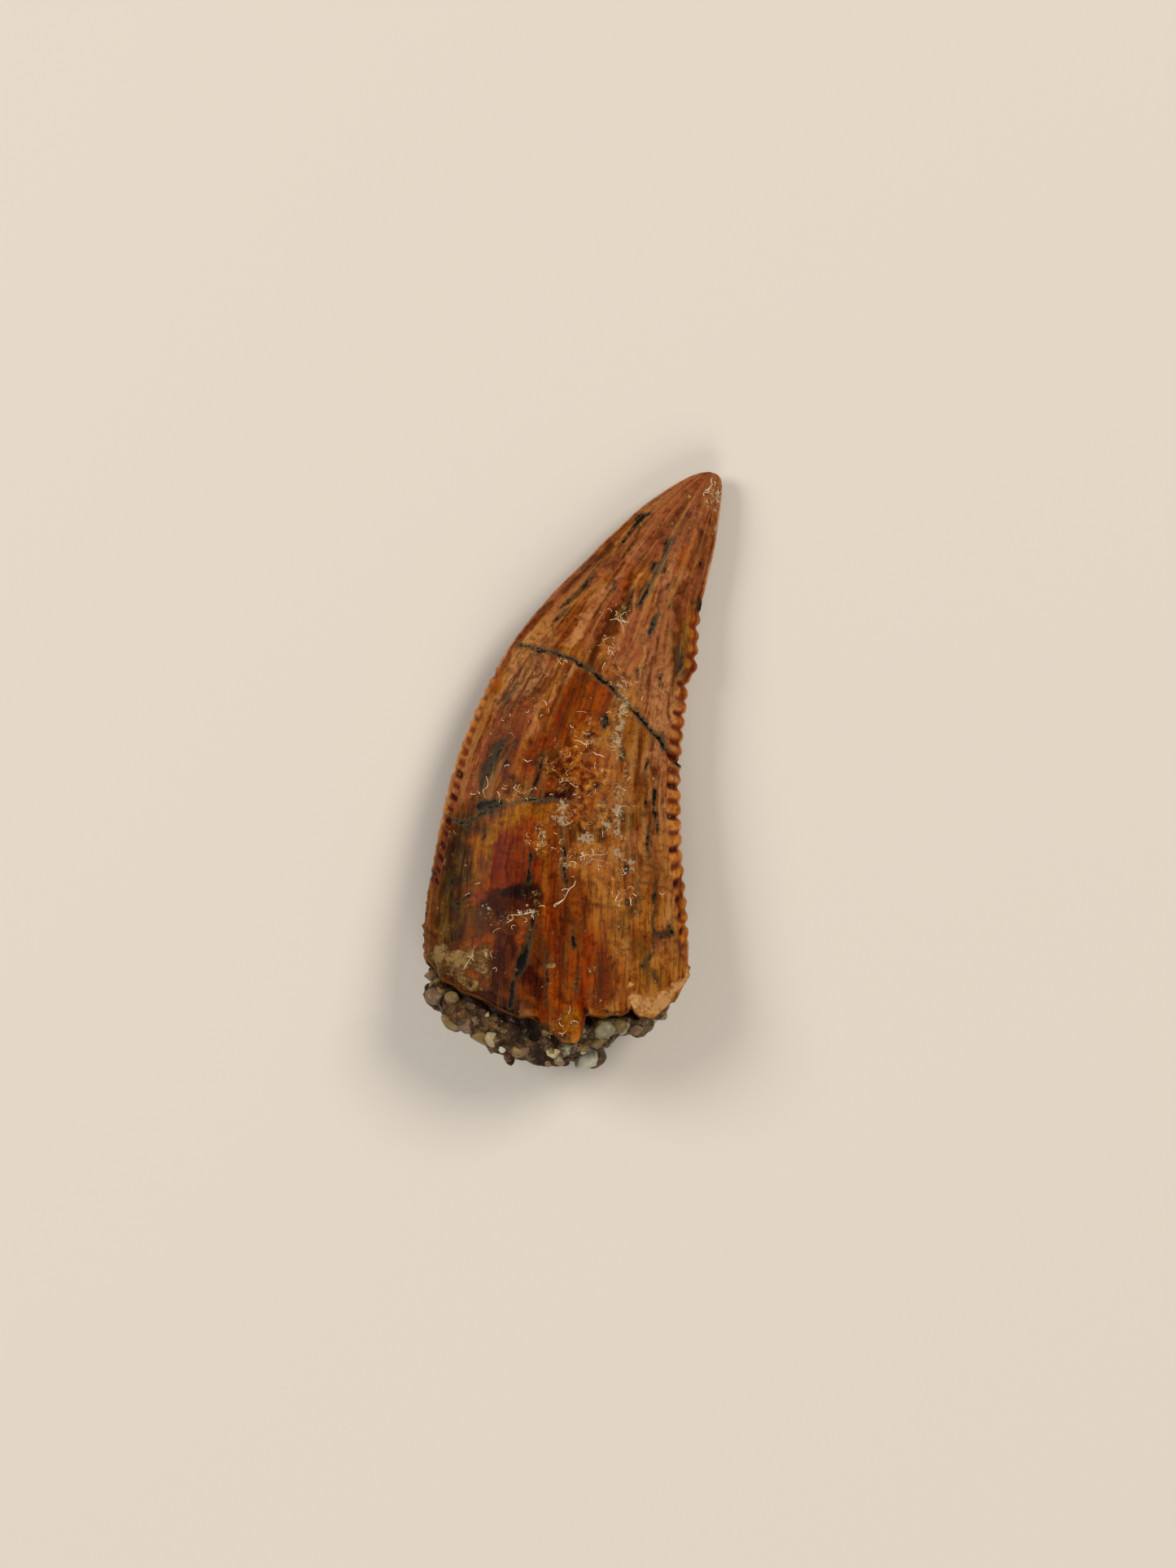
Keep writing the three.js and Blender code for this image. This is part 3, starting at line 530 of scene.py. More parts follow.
# Soft stains: x, y, half length, half width, turn in degrees, strength
stains = {
    # Deeper, clearer ground of the lower half and of the middle band
    "deep": [(-1.9, -2.7, 1.9, 1.5, 90, 1), (-0.9, -5.6, 2.4, 1.7, 90, 1), (0.7, -6.1, 1.5, 1.0, 90, 1),
             (-3.4, -3.2, 1.9, 0.8, 80, 0.9), (-2.5, -5.4, 1.5, 0.9, 90, 1),
             (0.35, 1.9, 1.5, 0.8, 70, 0.9), (1.2, 4.6, 1.1, 0.35, 66, 0.9),
             (0.0, -0.1, 1.5, 1.2, 90, 0.7), (-3.5, -4.6, 1.2, 0.8, 90, 0.8),
             (-0.3, -7.4, 0.8, 0.6, 90, 1), (1.4, -5.0, 1.0, 0.6, 90, 0.6)],
    # Palest tan of the thick enamel, and light streaks in it
    "buff": [(-0.9, 4.25, 1.5, 0.45, 47, 0.7), (-1.65, 2.7, 1.5, 0.6, 58, 1),
             (2.7, 2.2, 1.7, 0.62, 98, 1), (2.8, -0.3, 1.9, 0.6, 92, 1), (3.15, -1.9, 2.2, 0.22, 91, 0.7),
             (2.75, -5.9, 0.9, 0.3, 88, 0.7), (2.6, -2.4, 1.3, 0.6, 90, 0.7),
             (0.7, -2.8, 1.1, 0.4, 0, 0.5), (2.9, -1.6, 1.4, 0.3, 90, 0.7),
             (1.9, -2.6, 1.2, 0.3, 90, 0.5), (2.9, -4.2, 0.9, 0.2, 90, 0.6),
             (2.55, -6.1, 0.9, 0.4, 85, 0.7), (3.05, 5.3, 1.8, 0.16, 78, 0.9),
             (0.8, 6.0, 0.9, 0.3, 48, 0.6), (3.3, 6.6, 1.0, 0.2, 62, 1), (1.3, 6.05, 1.5, 0.17, 46, 1),
             (2.35, 6.95, 0.6, 0.12, 50, 0.8), (0.3, 4.6, 1.2, 0.14, 50, 0.7),
             (0.7, 5.4, 0.8, 0.14, 47, 0.6), (2.3, 3.9, 1.2, 0.12, 75, 0.6),
             (-0.3, 2.6, 1.3, 0.12, 62, 0.6), (-1.1, 1.3, 0.8, 0.14, 62, 0.5),
             (-1.7, 2.6, 1.1, 0.07, 60, 0.8), (-1.35, 2.95, 0.9, 0.06, 60, 0.8),
             (-2.15, 1.85, 0.9, 0.07, 60, 0.7), (-0.95, 2.95, 0.8, 0.06, 60, 0.7),
             (1.9, 5.2, 1.2, 0.07, 60, 0.7), (2.75, 5.6, 1.2, 0.08, 68, 0.7)],
    # Golden tan
    "tawny": [(0.7, -3.0, 1.2, 0.8, 0, 0.7), (1.8, -4.2, 1.3, 0.9, 0, 0.8), (2.4, -6.2, 1.1, 0.9, 0, 0.9),
              (2.5, -2.8, 1.3, 0.8, 90, 0.5), (1.2, -5.0, 1.0, 0.7, 90, 0.7),
              (-0.9, 4.2, 1.5, 0.45, 47, 0.4), (0.6, 5.6, 1.2, 0.2, 48, 0.4),
              (0.2, 2.2, 0.9, 0.3, 68, 0.35), (2.9, -0.3, 1.5, 0.35, 92, 0.3)],
    # Pinkish brown near the tip and down the distal side
    "blush": [(3.6, 8.2, 2.1, 1.2, 55, 1), (2.6, 7.4, 1.8, 0.8, 48, 0.8), (1.0, 6.5, 1.6, 0.4, 47, 0.8),
              (-0.2, 5.3, 1.3, 0.4, 50, 0.7), (3.7, 6.0, 1.8, 0.35, 80, 0.8),
              (2.8, 4.3, 1.9, 0.5, 80, 0.7), (1.0, 5.0, 1.6, 0.5, 58, 0.8),
              (2.1, 2.0, 1.4, 0.25, 98, 0.4), (1.7, 3.9, 1.4, 0.5, 78, 0.9),
              (-1.9, 2.4, 1.6, 0.45, 58, 0.3), (-2.5, 1.0, 1.3, 0.5, 62, 0.7),
              (-1.5, 1.4, 1.2, 0.45, 62, 0.4), (-3.3, -0.4, 1.2, 0.32, 72, 0.9),
              (0.6, -2.9, 0.9, 0.5, 0, 0.5), (3.42, -5.8, 0.35, 0.18, 90, 0.9),
              (1.75, 2.75, 0.5, 0.5, 0, 0.4), (2.6, -5.4, 0.6, 0.15, 90, 0.4),
              (2.8, -3.2, 1.2, 0.25, 90, 0.5)],
    # Soft brown streaks, the brown of the mesial side, and painted shade along the lower rim on the left
    "bronze": [(1.45, 5.0, 0.8, 0.22, 60, 1), (0.95, 4.1, 0.75, 0.3, 66, 1),
               (0.6, 3.2, 0.7, 0.28, 66, 0.8), (0.2, 2.2, 0.8, 0.14, 66, 0.35),
               (-3.65, -3.2, 1.9, 0.62, 78, 0.9), (-3.7, -4.3, 1.3, 0.55, 86, 0.8),
               (-2.6, -4.6, 0.7, 0.5, 0, 0.8), (-0.6, -1.0, 0.9, 0.3, 0, 0.7),
               (-0.9, -3.0, 1.4, 0.16, 90, 0.6), (-1.1, -5.5, 1.3, 0.3, 85, 0.6),
               (0.05, -4.9, 1.0, 0.2, 90, 0.5), (0.9, 6.6, 0.9, 0.25, 47, 0.5),
               (3.5, 7.7, 0.7, 0.3, 60, 0.4), (-2.7, -0.7, 0.7, 0.3, 70, 0.5),
               (-2.45, 0.2, 1.1, 0.4, 62, 0.75), (-0.4, 0.9, 0.9, 0.16, 66, 0.6),
               (3.95, 7.2, 0.9, 0.12, 78, 0.6), (2.0, 7.2, 0.9, 0.12, 48, 0.5),
               (-0.8, 3.9, 1.2, 0.08, 55, 0.5), (-1.7, 3.2, 1.4, 0.08, 60, 0.5),
               (-1.2, 2.2, 1.3, 0.1, 62, 0.5), (3.3, -0.2, 2.6, 0.08, 92, 0.2),
               (-2.3, -6.2, 0.8, 0.4, 80, 0.9), (1.1, -6.2, 1.1, 0.18, 90, 0.5),
               (-3.4, -6.65, 1.3, 0.32, -27, 1), (-2.2, -7.0, 1.0, 0.3, -20, 0.7),
               (1.9, -2.4, 1.5, 0.14, 90, 0.25), (1.75, 6.95, 1.1, 0.1, 50, 0.6),
               (0.35, 6.1, 0.9, 0.1, 47, 0.5), (3.25, 4.6, 1.6, 0.09, 82, 0.6),
               (2.6, 4.9, 1.2, 0.08, 76, 0.5), (-2.2, 1.6, 1.1, 0.1, 62, 0.4),
               (-0.5, 3.2, 1.0, 0.08, 62, 0.5)],
    # Clear orange where the enamel is thin over the dentine
    "amber": [(1.6, 5.5, 0.6, 0.16, 62, 0.9), (1.0, 4.2, 0.9, 0.3, 70, 0.6),
              (0.4, 2.3, 1.0, 0.5, 68, 0.95), (-0.2, 1.4, 1.4, 0.5, 70, 0.5),
              (-0.6, 0.1, 1.0, 0.9, 0, 0.5), (0.6, 0.3, 0.9, 0.8, 0, 0.55),
              (-3.1, 1.5, 1.3, 0.2, 68, 0.4), (-2.5, 2.9, 0.9, 0.2, 60, 0.6),
              (-1.8, -2.0, 1.0, 0.8, 0, 0.75), (0.5, -5.9, 1.3, 0.5, 90, 0.8),
              (-0.5, -6.4, 0.9, 0.35, 90, 0.7), (-1.2, -6.9, 0.8, 0.3, 0, 0.6),
              (1.2, -4.9, 0.9, 0.4, 90, 0.3), (-2.5, -5.2, 1.0, 0.4, 90, 0.5),
              (0.2, -7.6, 0.5, 0.25, 90, 0.9), (3.55, 6.9, 0.9, 0.1, 70, 0.6),
              (1.35, 6.3, 0.8, 0.09, 48, 0.5), (2.9, 0.2, 1.4, 0.35, 92, 0.1),
              (-0.7, -4.3, 0.7, 0.4, 0, 0.55), (0.9, -3.2, 0.5, 0.4, 0, 0.3),
              (3.45, -1.8, 2.6, 0.2, 90, 0.2)],
    # Orange red
    "russet": [(-1.75, -2.95, 1.1, 1.1, 90, 0.95), (-2.3, -2.2, 0.9, 0.4, 62, 0.5),
               (-0.9, -5.2, 1.2, 0.6, 90, 0.4), (0.3, -6.3, 1.0, 0.35, 90, 0.4),
               (-0.4, 1.9, 1.1, 0.35, 68, 0.1), (0.9, 3.6, 0.9, 0.25, 68, 0.35),
               (-0.3, -0.3, 1.1, 0.9, 0, 0.5), (0.5, -1.1, 0.9, 0.4, 0, 0.4),
               (1.7, 5.6, 0.7, 0.14, 62, 0.5), (0.3, -7.2, 0.4, 0.4, 0, 0.6)],
    # Deep red, and painted shade along the lower rim on the left
    "ember": [(-1.9, -3.3, 0.6, 0.7, 0, 0.25), (-1.6, -3.85, 1.0, 0.42, 5, 0.92),
              (-4.02, -2.4, 2.1, 0.22, 77, 0.8), (-4.4, -5.3, 0.5, 0.12, 88, 0.6),
              (-2.2, -4.1, 0.5, 0.5, 0, 0.8), (-1.75, -4.4, 0.8, 0.35, 0, 0.6),
              (-1.95, -5.0, 0.4, 0.3, 0, 0.7), (-1.95, -5.7, 0.9, 0.38, 85, 1),
              (-1.25, -6.4, 0.8, 0.3, 90, 0.95), (-2.2, -6.95, 1.2, 0.3, -20, 0.85),
              (-2.35, -6.1, 0.9, 0.25, 85, 0.7), (-2.45, -5.3, 0.7, 0.28, 90, 0.85),
              (-1.7, -6.5, 0.8, 0.3, 88, 0.5), (-0.1, -0.7, 0.4, 0.3, 30, 0.7),
              (-0.2, 0.1, 0.4, 0.3, -20, 0.7), (-0.42, -8.12, 0.42, 0.25, -35, 1),
              (-0.3, -6.3, 1.1, 0.16, 90, 0.6), (-0.35, -5.1, 0.7, 0.16, 90, 0.5),
              (0.85, -6.3, 0.9, 0.22, 90, 0.4), (-0.45, -0.2, 0.45, 0.3, 20, 0.95),
              (-0.75, -0.8, 0.8, 0.25, 2, 1), (-0.5, 0.35, 0.35, 0.22, 60, 0.7),
              (0.15, 0.2, 0.3, 0.2, 0, 0.5), (0.4, -0.6, 0.5, 0.2, 20, 0.5),
              (0.75, 1.0, 0.3, 0.15, 80, 0.5), (0.95, 2.95, 0.5, 0.14, 66, 0.5),
              (-0.3, 1.9, 0.8, 0.12, 66, 0.15), (-1.8, -0.55, 0.6, 0.3, 40, 0.8),
              (-1.3, -4.2, 0.5, 0.25, 0, 0.6), (-4.3, -5.3, 0.4, 0.09, 90, 0.6),
              (0.05, -4.4, 0.5, 0.2, 90, 0.4)],
    # Yellow orange, as in the arch below the thin crack
    "honey": [(-2.75, -2.55, 1.0, 0.4, 68, 0.75), (-2.45, -1.8, 0.8, 0.4, 50, 0.7),
              (-1.75, -1.4, 0.9, 0.32, 8, 0.85), (-0.9, -1.4, 0.8, 0.3, -5, 0.5),
              (-0.3, -7.8, 0.55, 0.5, 0, 0.9), (1.75, 1.1, 0.65, 0.28, 105, 0.5),
              (2.3, -6.4, 0.8, 0.45, 0, 0.6), (3.4, -3.9, 1.5, 0.14, 90, 1),
              (3.45, -5.0, 0.4, 0.15, 90, 0.8), (-0.8, -2.7, 0.8, 0.3, 90, 0.5),
              (0.9, -5.0, 0.8, 0.2, 90, 0.4), (-3.2, -3.2, 0.9, 0.12, 72, 0.5),
              (1.7, 0.0, 0.9, 0.25, 90, 0.35), (0.0, -2.3, 0.7, 0.18, 90, 0.4),
              (0.35, 1.25, 0.5, 0.3, 0, 0.3), (-0.2, 1.4, 0.9, 0.25, 68, 0.5),
              (2.7, -5.9, 0.9, 0.14, 90, 0.4), (-3.7, 3.4, 0.4, 0.15, 60, 0.4),
              (0.0, 0.9, 0.5, 0.3, 0, 0.35), (-4.1, -4.3, 1.0, 0.14, 88, 0.4)],
    # Green and olive mineral stain
    "olive": [(-3.5, -2.6, 1.8, 0.45, 76, 0.7), (-3.75, -3.9, 1.1, 0.45, 82, 0.7),
              (-3.2, -4.3, 0.9, 0.3, 85, 0.45), (-3.95, -5.15, 0.35, 0.25, 75, 0.95),
              (0.3, -1.95, 0.7, 0.35, 0, 0.8), (1.1, -1.6, 0.6, 0.3, 0, 0.7),
              (1.5, -1.5, 0.35, 0.2, 0, 0.6), (1.5, -4.9, 0.7, 0.35, 90, 0.4),
              (0.4, -5.2, 0.8, 0.2, 90, 0.35), (-2.75, -0.6, 0.8, 0.2, 72, 0.4),
              (-3.0, -1.75, 0.6, 0.3, 10, 0.6), (2.1, -5.7, 0.8, 0.25, 85, 0.45),
              (0.05, 5.4, 0.9, 0.12, 46, 0.5), (3.35, 3.7, 0.6, 0.22, 88, 0.5),
              (-1.6, 2.0, 0.9, 0.12, 58, 0.4), (-1.9, 2.35, 1.0, 0.06, 60, 0.7),
              (-1.5, 2.6, 0.9, 0.05, 60, 0.7), (-1.2, 2.4, 0.8, 0.05, 60, 0.6),
              (2.4, -3.4, 0.9, 0.25, 90, 0.3), (1.75, -4.2, 0.4, 0.25, 90, 0.5),
              (-2.4, -7.0, 0.5, 0.12, -18, 0.5), (1.2, -7.0, 0.3, 0.2, 90, 0.4),
              (-0.7, 0.4, 0.4, 0.15, 66, 0.5), (2.45, -1.0, 1.2, 0.12, 90, 0.25)],
    # Grey and blue-grey stain
    "slate": [(-2.5, 0.15, 1.0, 0.33, 62, 0.3), (-2.28, 0.45, 0.62, 0.07, 60, 0.95),
              (-2.5, 0.28, 0.7, 0.06, 60, 0.9), (-1.96, 0.5, 0.55, 0.06, 56, 0.85),
              (-2.8, -0.35, 0.6, 0.09, 76, 0.9), (-2.65, -0.25, 0.4, 0.08, 55, 0.8),
              (-2.15, 2.15, 0.35, 0.08, 40, 0.6), (-2.0, 2.1, 0.5, 0.06, 55, 0.5),
              (2.88, 6.62, 0.7, 0.13, 68, 0.8), (2.66, 6.12, 0.32, 0.24, 60, 0.95),
              (2.35, 5.5, 0.45, 0.12, 64, 0.6), (3.2, 3.3, 0.75, 0.17, 90, 0.8),
              (3.32, 2.75, 0.4, 0.18, 85, 0.6), (3.62, 3.0, 0.35, 0.14, 85, 0.5),
              (3.92, 5.0, 0.25, 0.15, 80, 0.8), (2.8, -5.05, 0.38, 0.18, -10, 0.65),
              (2.48, -5.3, 0.5, 0.1, 90, 0.4), (2.45, -4.5, 0.8, 0.08, 90, 0.3),
              (2.45, 4.4, 0.45, 0.12, 75, 0.6), (2.2, -5.9, 0.3, 0.14, 60, 0.45),
              (2.5, -6.4, 0.3, 0.1, 110, 0.45), (1.5, 1.0, 0.5, 0.14, 95, 0.5),
              (1.5, 0.35, 0.35, 0.12, 95, 0.6), (2.3, -2.2, 0.9, 0.07, 90, 0.5),
              (-2.5, -1.2, 0.55, 0.28, 15, 0.6), (-0.28, -3.1, 0.4, 0.12, 90, 0.4),
              (-2.6, -4.4, 0.3, 0.15, 90, 0.6), (2.8, 0.75, 0.3, 0.16, 120, 0.5),
              (2.2, 1.3, 0.4, 0.12, 130, 0.4), (-1.3, -5.3, 0.8, 0.14, 80, 0.3),
              (-2.9, -4.6, 0.8, 0.1, 90, 0.3)],
    # Pale beige crust that the sand has left on the enamel
    "crust": [(-3.65, -5.85, 0.85, 0.38, -8, 1), (-4.05, -5.55, 0.35, 0.2, 20, 0.8),
              (-3.0, -5.8, 0.45, 0.45, 0, 0.9), (-2.75, -5.9, 0.3, 0.5, 0, 0.7),
              (-3.6, -6.25, 0.6, 0.2, -30, 0.8), (-3.25, -6.55, 0.5, 0.2, -20, 0.9),
              (-4.0, -6.2, 0.3, 0.16, -40, 0.7), (-2.75, -5.5, 0.2, 0.3, 10, 0.4),
              (-4.35, -5.8, 0.15, 0.2, 0, 0.6), (-2.4, -6.7, 0.35, 0.12, -10, 0.4),
              (-0.7, -5.95, 0.25, 0.1, 0, 0.6), (0.1, -6.75, 0.12, 0.2, 0, 0.6),
              (-4.5, -4.5, 1.3, 0.05, 89, 0.7), (-0.85, -7.75, 0.2, 0.12, -20, 0.7)],
    # Dirt and painted shade along the rim, and the darkest ground of the worn middle
    "sootAndRimShade": [(-2.05, -7.33, 1.1, 0.16, -18, 0.95), (-3.35, -6.92, 0.95, 0.15, -27, 0.95),
             (-1.2, -7.62, 0.3, 0.14, -12, 0.9), (-0.85, -7.85, 0.22, 0.14, -50, 0.8),
             (-1.5, -3.9, 0.6, 0.2, 5, 0.5), (-1.52, -5.7, 0.5, 0.17, 80, 0.8),
             (0.4, -7.4, 0.2, 0.1, -50, 0.9), (1.2, -7.46, 0.5, 0.09, 3, 0.8),
             (1.76, -7.15, 0.3, 0.09, -60, 0.9), (-1.5, -0.62, 0.35, 0.12, 20, 0.5),
             (-0.75, -0.75, 0.3, 0.15, 0, 0.6), (-2.5, -1.15, 0.45, 0.16, 12, 0.7),
             (-0.3, -0.35, 0.25, 0.15, 0, 0.5), (-1.65, -3.75, 0.9, 0.25, 5, 0.75),
             (-3.85, -1.58, 0.14, 0.14, 0, 0.9), (3.27, 0.18, 0.2, 0.13, 10, 0.9),
             (3.95, 5.0, 0.2, 0.12, 80, 0.6)],
    # Pale chipped lip at the distal end of the broken rim
    "lip": [(2.32, -7.26, 0.72, 0.44, -2, 1), (1.88, -7.1, 0.2, 0.28, 20, 0.9),
            (2.8, -7.1, 0.42, 0.32, 35, 1), (3.18, -6.75, 0.4, 0.15, 50, 1),
            (3.44, -6.3, 0.35, 0.09, 70, 1), (1.75, -6.62, 0.12, 0.1, 0, 0.7)],
    # Rough worn ground with specks of dust and painted glints in it
    "worn": [(0.3, 0.9, 1.0, 0.7, 20, 1), (0.2, -0.2, 1.1, 0.8, 0, 1), (0.5, -1.6, 1.1, 0.8, 0, 0.9),
             (0.1, -2.6, 0.9, 0.5, 0, 0.6), (1.6, 2.7, 0.8, 0.5, 130, 0.8),
             (1.1, 3.8, 0.6, 0.25, 100, 0.7), (1.5, 0.3, 1.8, 0.25, 95, 0.8),
             (-0.9, 3.6, 0.8, 0.3, -20, 0.4), (-1.3, 1.8, 0.9, 0.7, 0, 0.35),
             (-1.6, -0.8, 0.9, 0.35, 0, 0.6), (-1.7, -4.5, 0.8, 0.25, 10, 0.45),
             (-2.6, -5.9, 0.4, 0.6, 0, 0.4), (1.4, -3.6, 0.5, 0.7, 0, 0.5), (0.6, -2.9, 0.8, 0.3, 0, 0.7),
             (4.3, 8.5, 0.5, 0.25, 80, 0.7), (1.4, 4.6, 0.3, 0.2, 0, 0.5), (-1.0, -2.2, 0.5, 0.5, 0, 0.6),
             (-0.35, -7.9, 0.5, 0.4, 0, 0.8)],
}


def denticleField(row, length, gap):
    # The hollows between the denticles, the painted shade in them, the painted highlight of the beads between
    # them, and the notches in the outline.
    # length is measured along the edge and gap inward from it, both in mm
    place = (length - row["from"] + row["slope"] * gap) / row["pitch"] + row["shift"]
    number = np.floor(place)
    uneven = [0.5 + 0.5 * np.sin(number * k + 4.1) for k in denticles["scatter"]]
    shifting, strengths, reaches, widths = uneven
    offset = (place - number - 0.42 - 0.16 * shifting) * row["pitch"]
    hollow = np.exp(-np.abs(offset / (row["hollow"] * (0.75 + 0.4 * widths))) ** 2.2)
    fade = smoothStep(row["from"] - 0.2, row["from"] + 0.5, length)
    fade = fade * smoothStep(row["to"] + 0.2, row["to"] - 0.9, length)
    strength = (0.45 + 0.55 * strengths) * fade
    outer, inner, pitShade, bead = (np.interp(length, *zip(*row[name]))
                                 for name in ("outer", "inner", "pitShade", "bead"))
    inner = inner * (0.85 + 0.3 * reaches)
    pit = hollow * smoothStep(outer - 0.06, outer + 0.05, gap) * smoothStep(inner, inner - 0.13, gap)
    bead = (1 - hollow) * smoothStep(inner + 0.05, inner - 0.1, gap) * fade * bead
    notch = row["scallop"] * hollow * np.exp(-(gap / 0.13) ** 2) * strength
    return pit * strength, pit * pitShade * (0.6 + 0.4 * strengths) * fade, bead, notch


def crownFields(grid):
    # Everything that is drawn or cut on the surface, worked out for each of its points
    points, up, across, side = grid["points"], grid["up"], grid["across"], grid["side"]
    shape = up.shape
    onLower = side < 0
    level = points[..., :2].reshape(-1, 2)
    # The lower face wears the same kinds of stain, turned over from edge to edge
    turned = crownPoint(up, 1 - across, np.ones(shape))
    turned = np.where(onLower[..., None], turned[..., :2], points[..., :2]).reshape(-1, 2)
    solid = points.reshape(-1, 3)
    stirring = crown["stirring"]
    slow, fine = [np.stack([roughNoise(solid, scale, octaves, shift) for shift in (11.0, 23.0)], -1) * reach
                  for scale, octaves, reach in (stirring["slow"], stirring["fine"])]
    fields = {}
    for name, free in stirring["strokes"].items():
        # The cracks go round to the lower face where they are, and aren't turned over
        base = level if name == "cracks" else turned
        fields[name] = strokeGap(base + fine * free, marks[name])
    for name, dabs in stains.items():
        free = stirring["steadiness"] if name in stirring["steadyStains"] else 1.0
        fields[name] = dabCover(turned + slow * free + fine, dabs)
    fields = {name: values.reshape(shape) for name, values in fields.items()}

    made = []
    for name, edge in (("mesial", mesialEdge), ("distal", distalEdge)):
        share = np.linspace(0, 1, 600)
        length = np.interp(up, share, runOf(edge(share)))
        gap = np.hypot(*(np.moveaxis(points[..., :2] - edge(up), -1, 0)))
        # The last field is a painted rim light: a pale band along each outline
        made.append((*denticleField(denticles[name], length, gap), np.exp(-(gap / 0.08) ** 2)))
    for name, mesial, distal in zip(("hollow", "pit", "bead", "notch", "paintedRimLight"), *made):
        fields[name] = np.maximum(mesial, distal)
    fields["inside"] = np.where(grid["outer"], 0.0, 1.0)
    return fields


def makeCrown():
    grid = crownGrid()
    points, up = grid["points"], grid["up"]
    fibre = np.stack([grid["across"], up, points[..., 2]], -1) * crown["fibres"]
    fields = crownFields(grid)

    # Which way is out, from the surface itself
    out = np.cross(np.gradient(points, axis=1), np.gradient(points, axis=0))
    out /= np.linalg.norm(out, axis=-1, keepdims=True) + 1e-12

    rough = {name: roughNoise(fibre if name == "ridges" else points, *cells)
             for name, cells in crown["reliefNoises"].items()}
    relief = crown["relief"]
    height = relief["unevenness"] * rough["unevenness"] + relief["ridges"] * rough["ridges"]
    height += relief["worn"] * fields["worn"] * rough["worn"]
    height += relief["crust"] * smoothStep(0.1, 0.8, fields["crust"]) * (0.35 + rough["crust"])
    height += relief["lip"] * smoothStep(0.2, 0.9, fields["lip"]) * (0.6 + 1.4 * rough["lip"])
    height -= relief["crack"] * smoothStep(0.03, -0.04, fields["cracks"])
    height -= relief["ink"] * smoothStep(0.0, -0.05, fields["ink"])
    height -= denticles["depth"] * fields["hollow"]
    height = np.where(grid["outer"], height, relief["socket"] * rough["socket"])
    points = points + out * height[..., None]
    # The hollows notch the outline towards the middle of the crown
    inward = crownPoint(up, np.full(up.shape, 0.5), np.zeros(up.shape)) - points
    inward[..., 2] = 0
    inward /= np.linalg.norm(inward, axis=-1, keepdims=True) + 1e-9
    points += inward * (fields["notch"] * grid["outer"])[..., None]
    points[..., 2] = np.maximum(points[..., 2], 0)

    tube = bmesh.new()
    rows, columns = (count - 1 for count in up.shape)
    bmesh.ops.create_grid(tube, x_segments=columns, y_segments=rows, size=1)
    mesh = meshFrom(tube, "crown_surface")
    places = np.empty(len(mesh.vertices) * 3)
    mesh.vertices.foreach_get("co", places)
    places = places.reshape(-1, 3)
    column = np.rint((places[:, 0] + 1) / 2 * columns).astype(int)
    row = np.rint((places[:, 1] + 1) / 2 * rows).astype(int)
    mesh.vertices.foreach_set("co", (points[row, column] * mm).ravel())
    for name in fields:
        if name not in ("hollow", "notch"):  # those two only shape the surface
            layer = mesh.attributes.new(name, "FLOAT", "POINT")
            layer.data.foreach_set("value", fields[name][row, column])
    layer = mesh.attributes.new("fibre", "FLOAT_VECTOR", "POINT")
    layer.data.foreach_set("vector", fibre[row, column].ravel())

    closed = bmesh.new()
    closed.from_mesh(mesh)
    bmesh.ops.remove_doubles(closed, verts=closed.verts, dist=1e-7)
    bmesh.ops.recalc_face_normals(closed, faces=closed.faces)
    closed.to_mesh(mesh)
    closed.free()
    return addPiece("crown_surface", mesh)


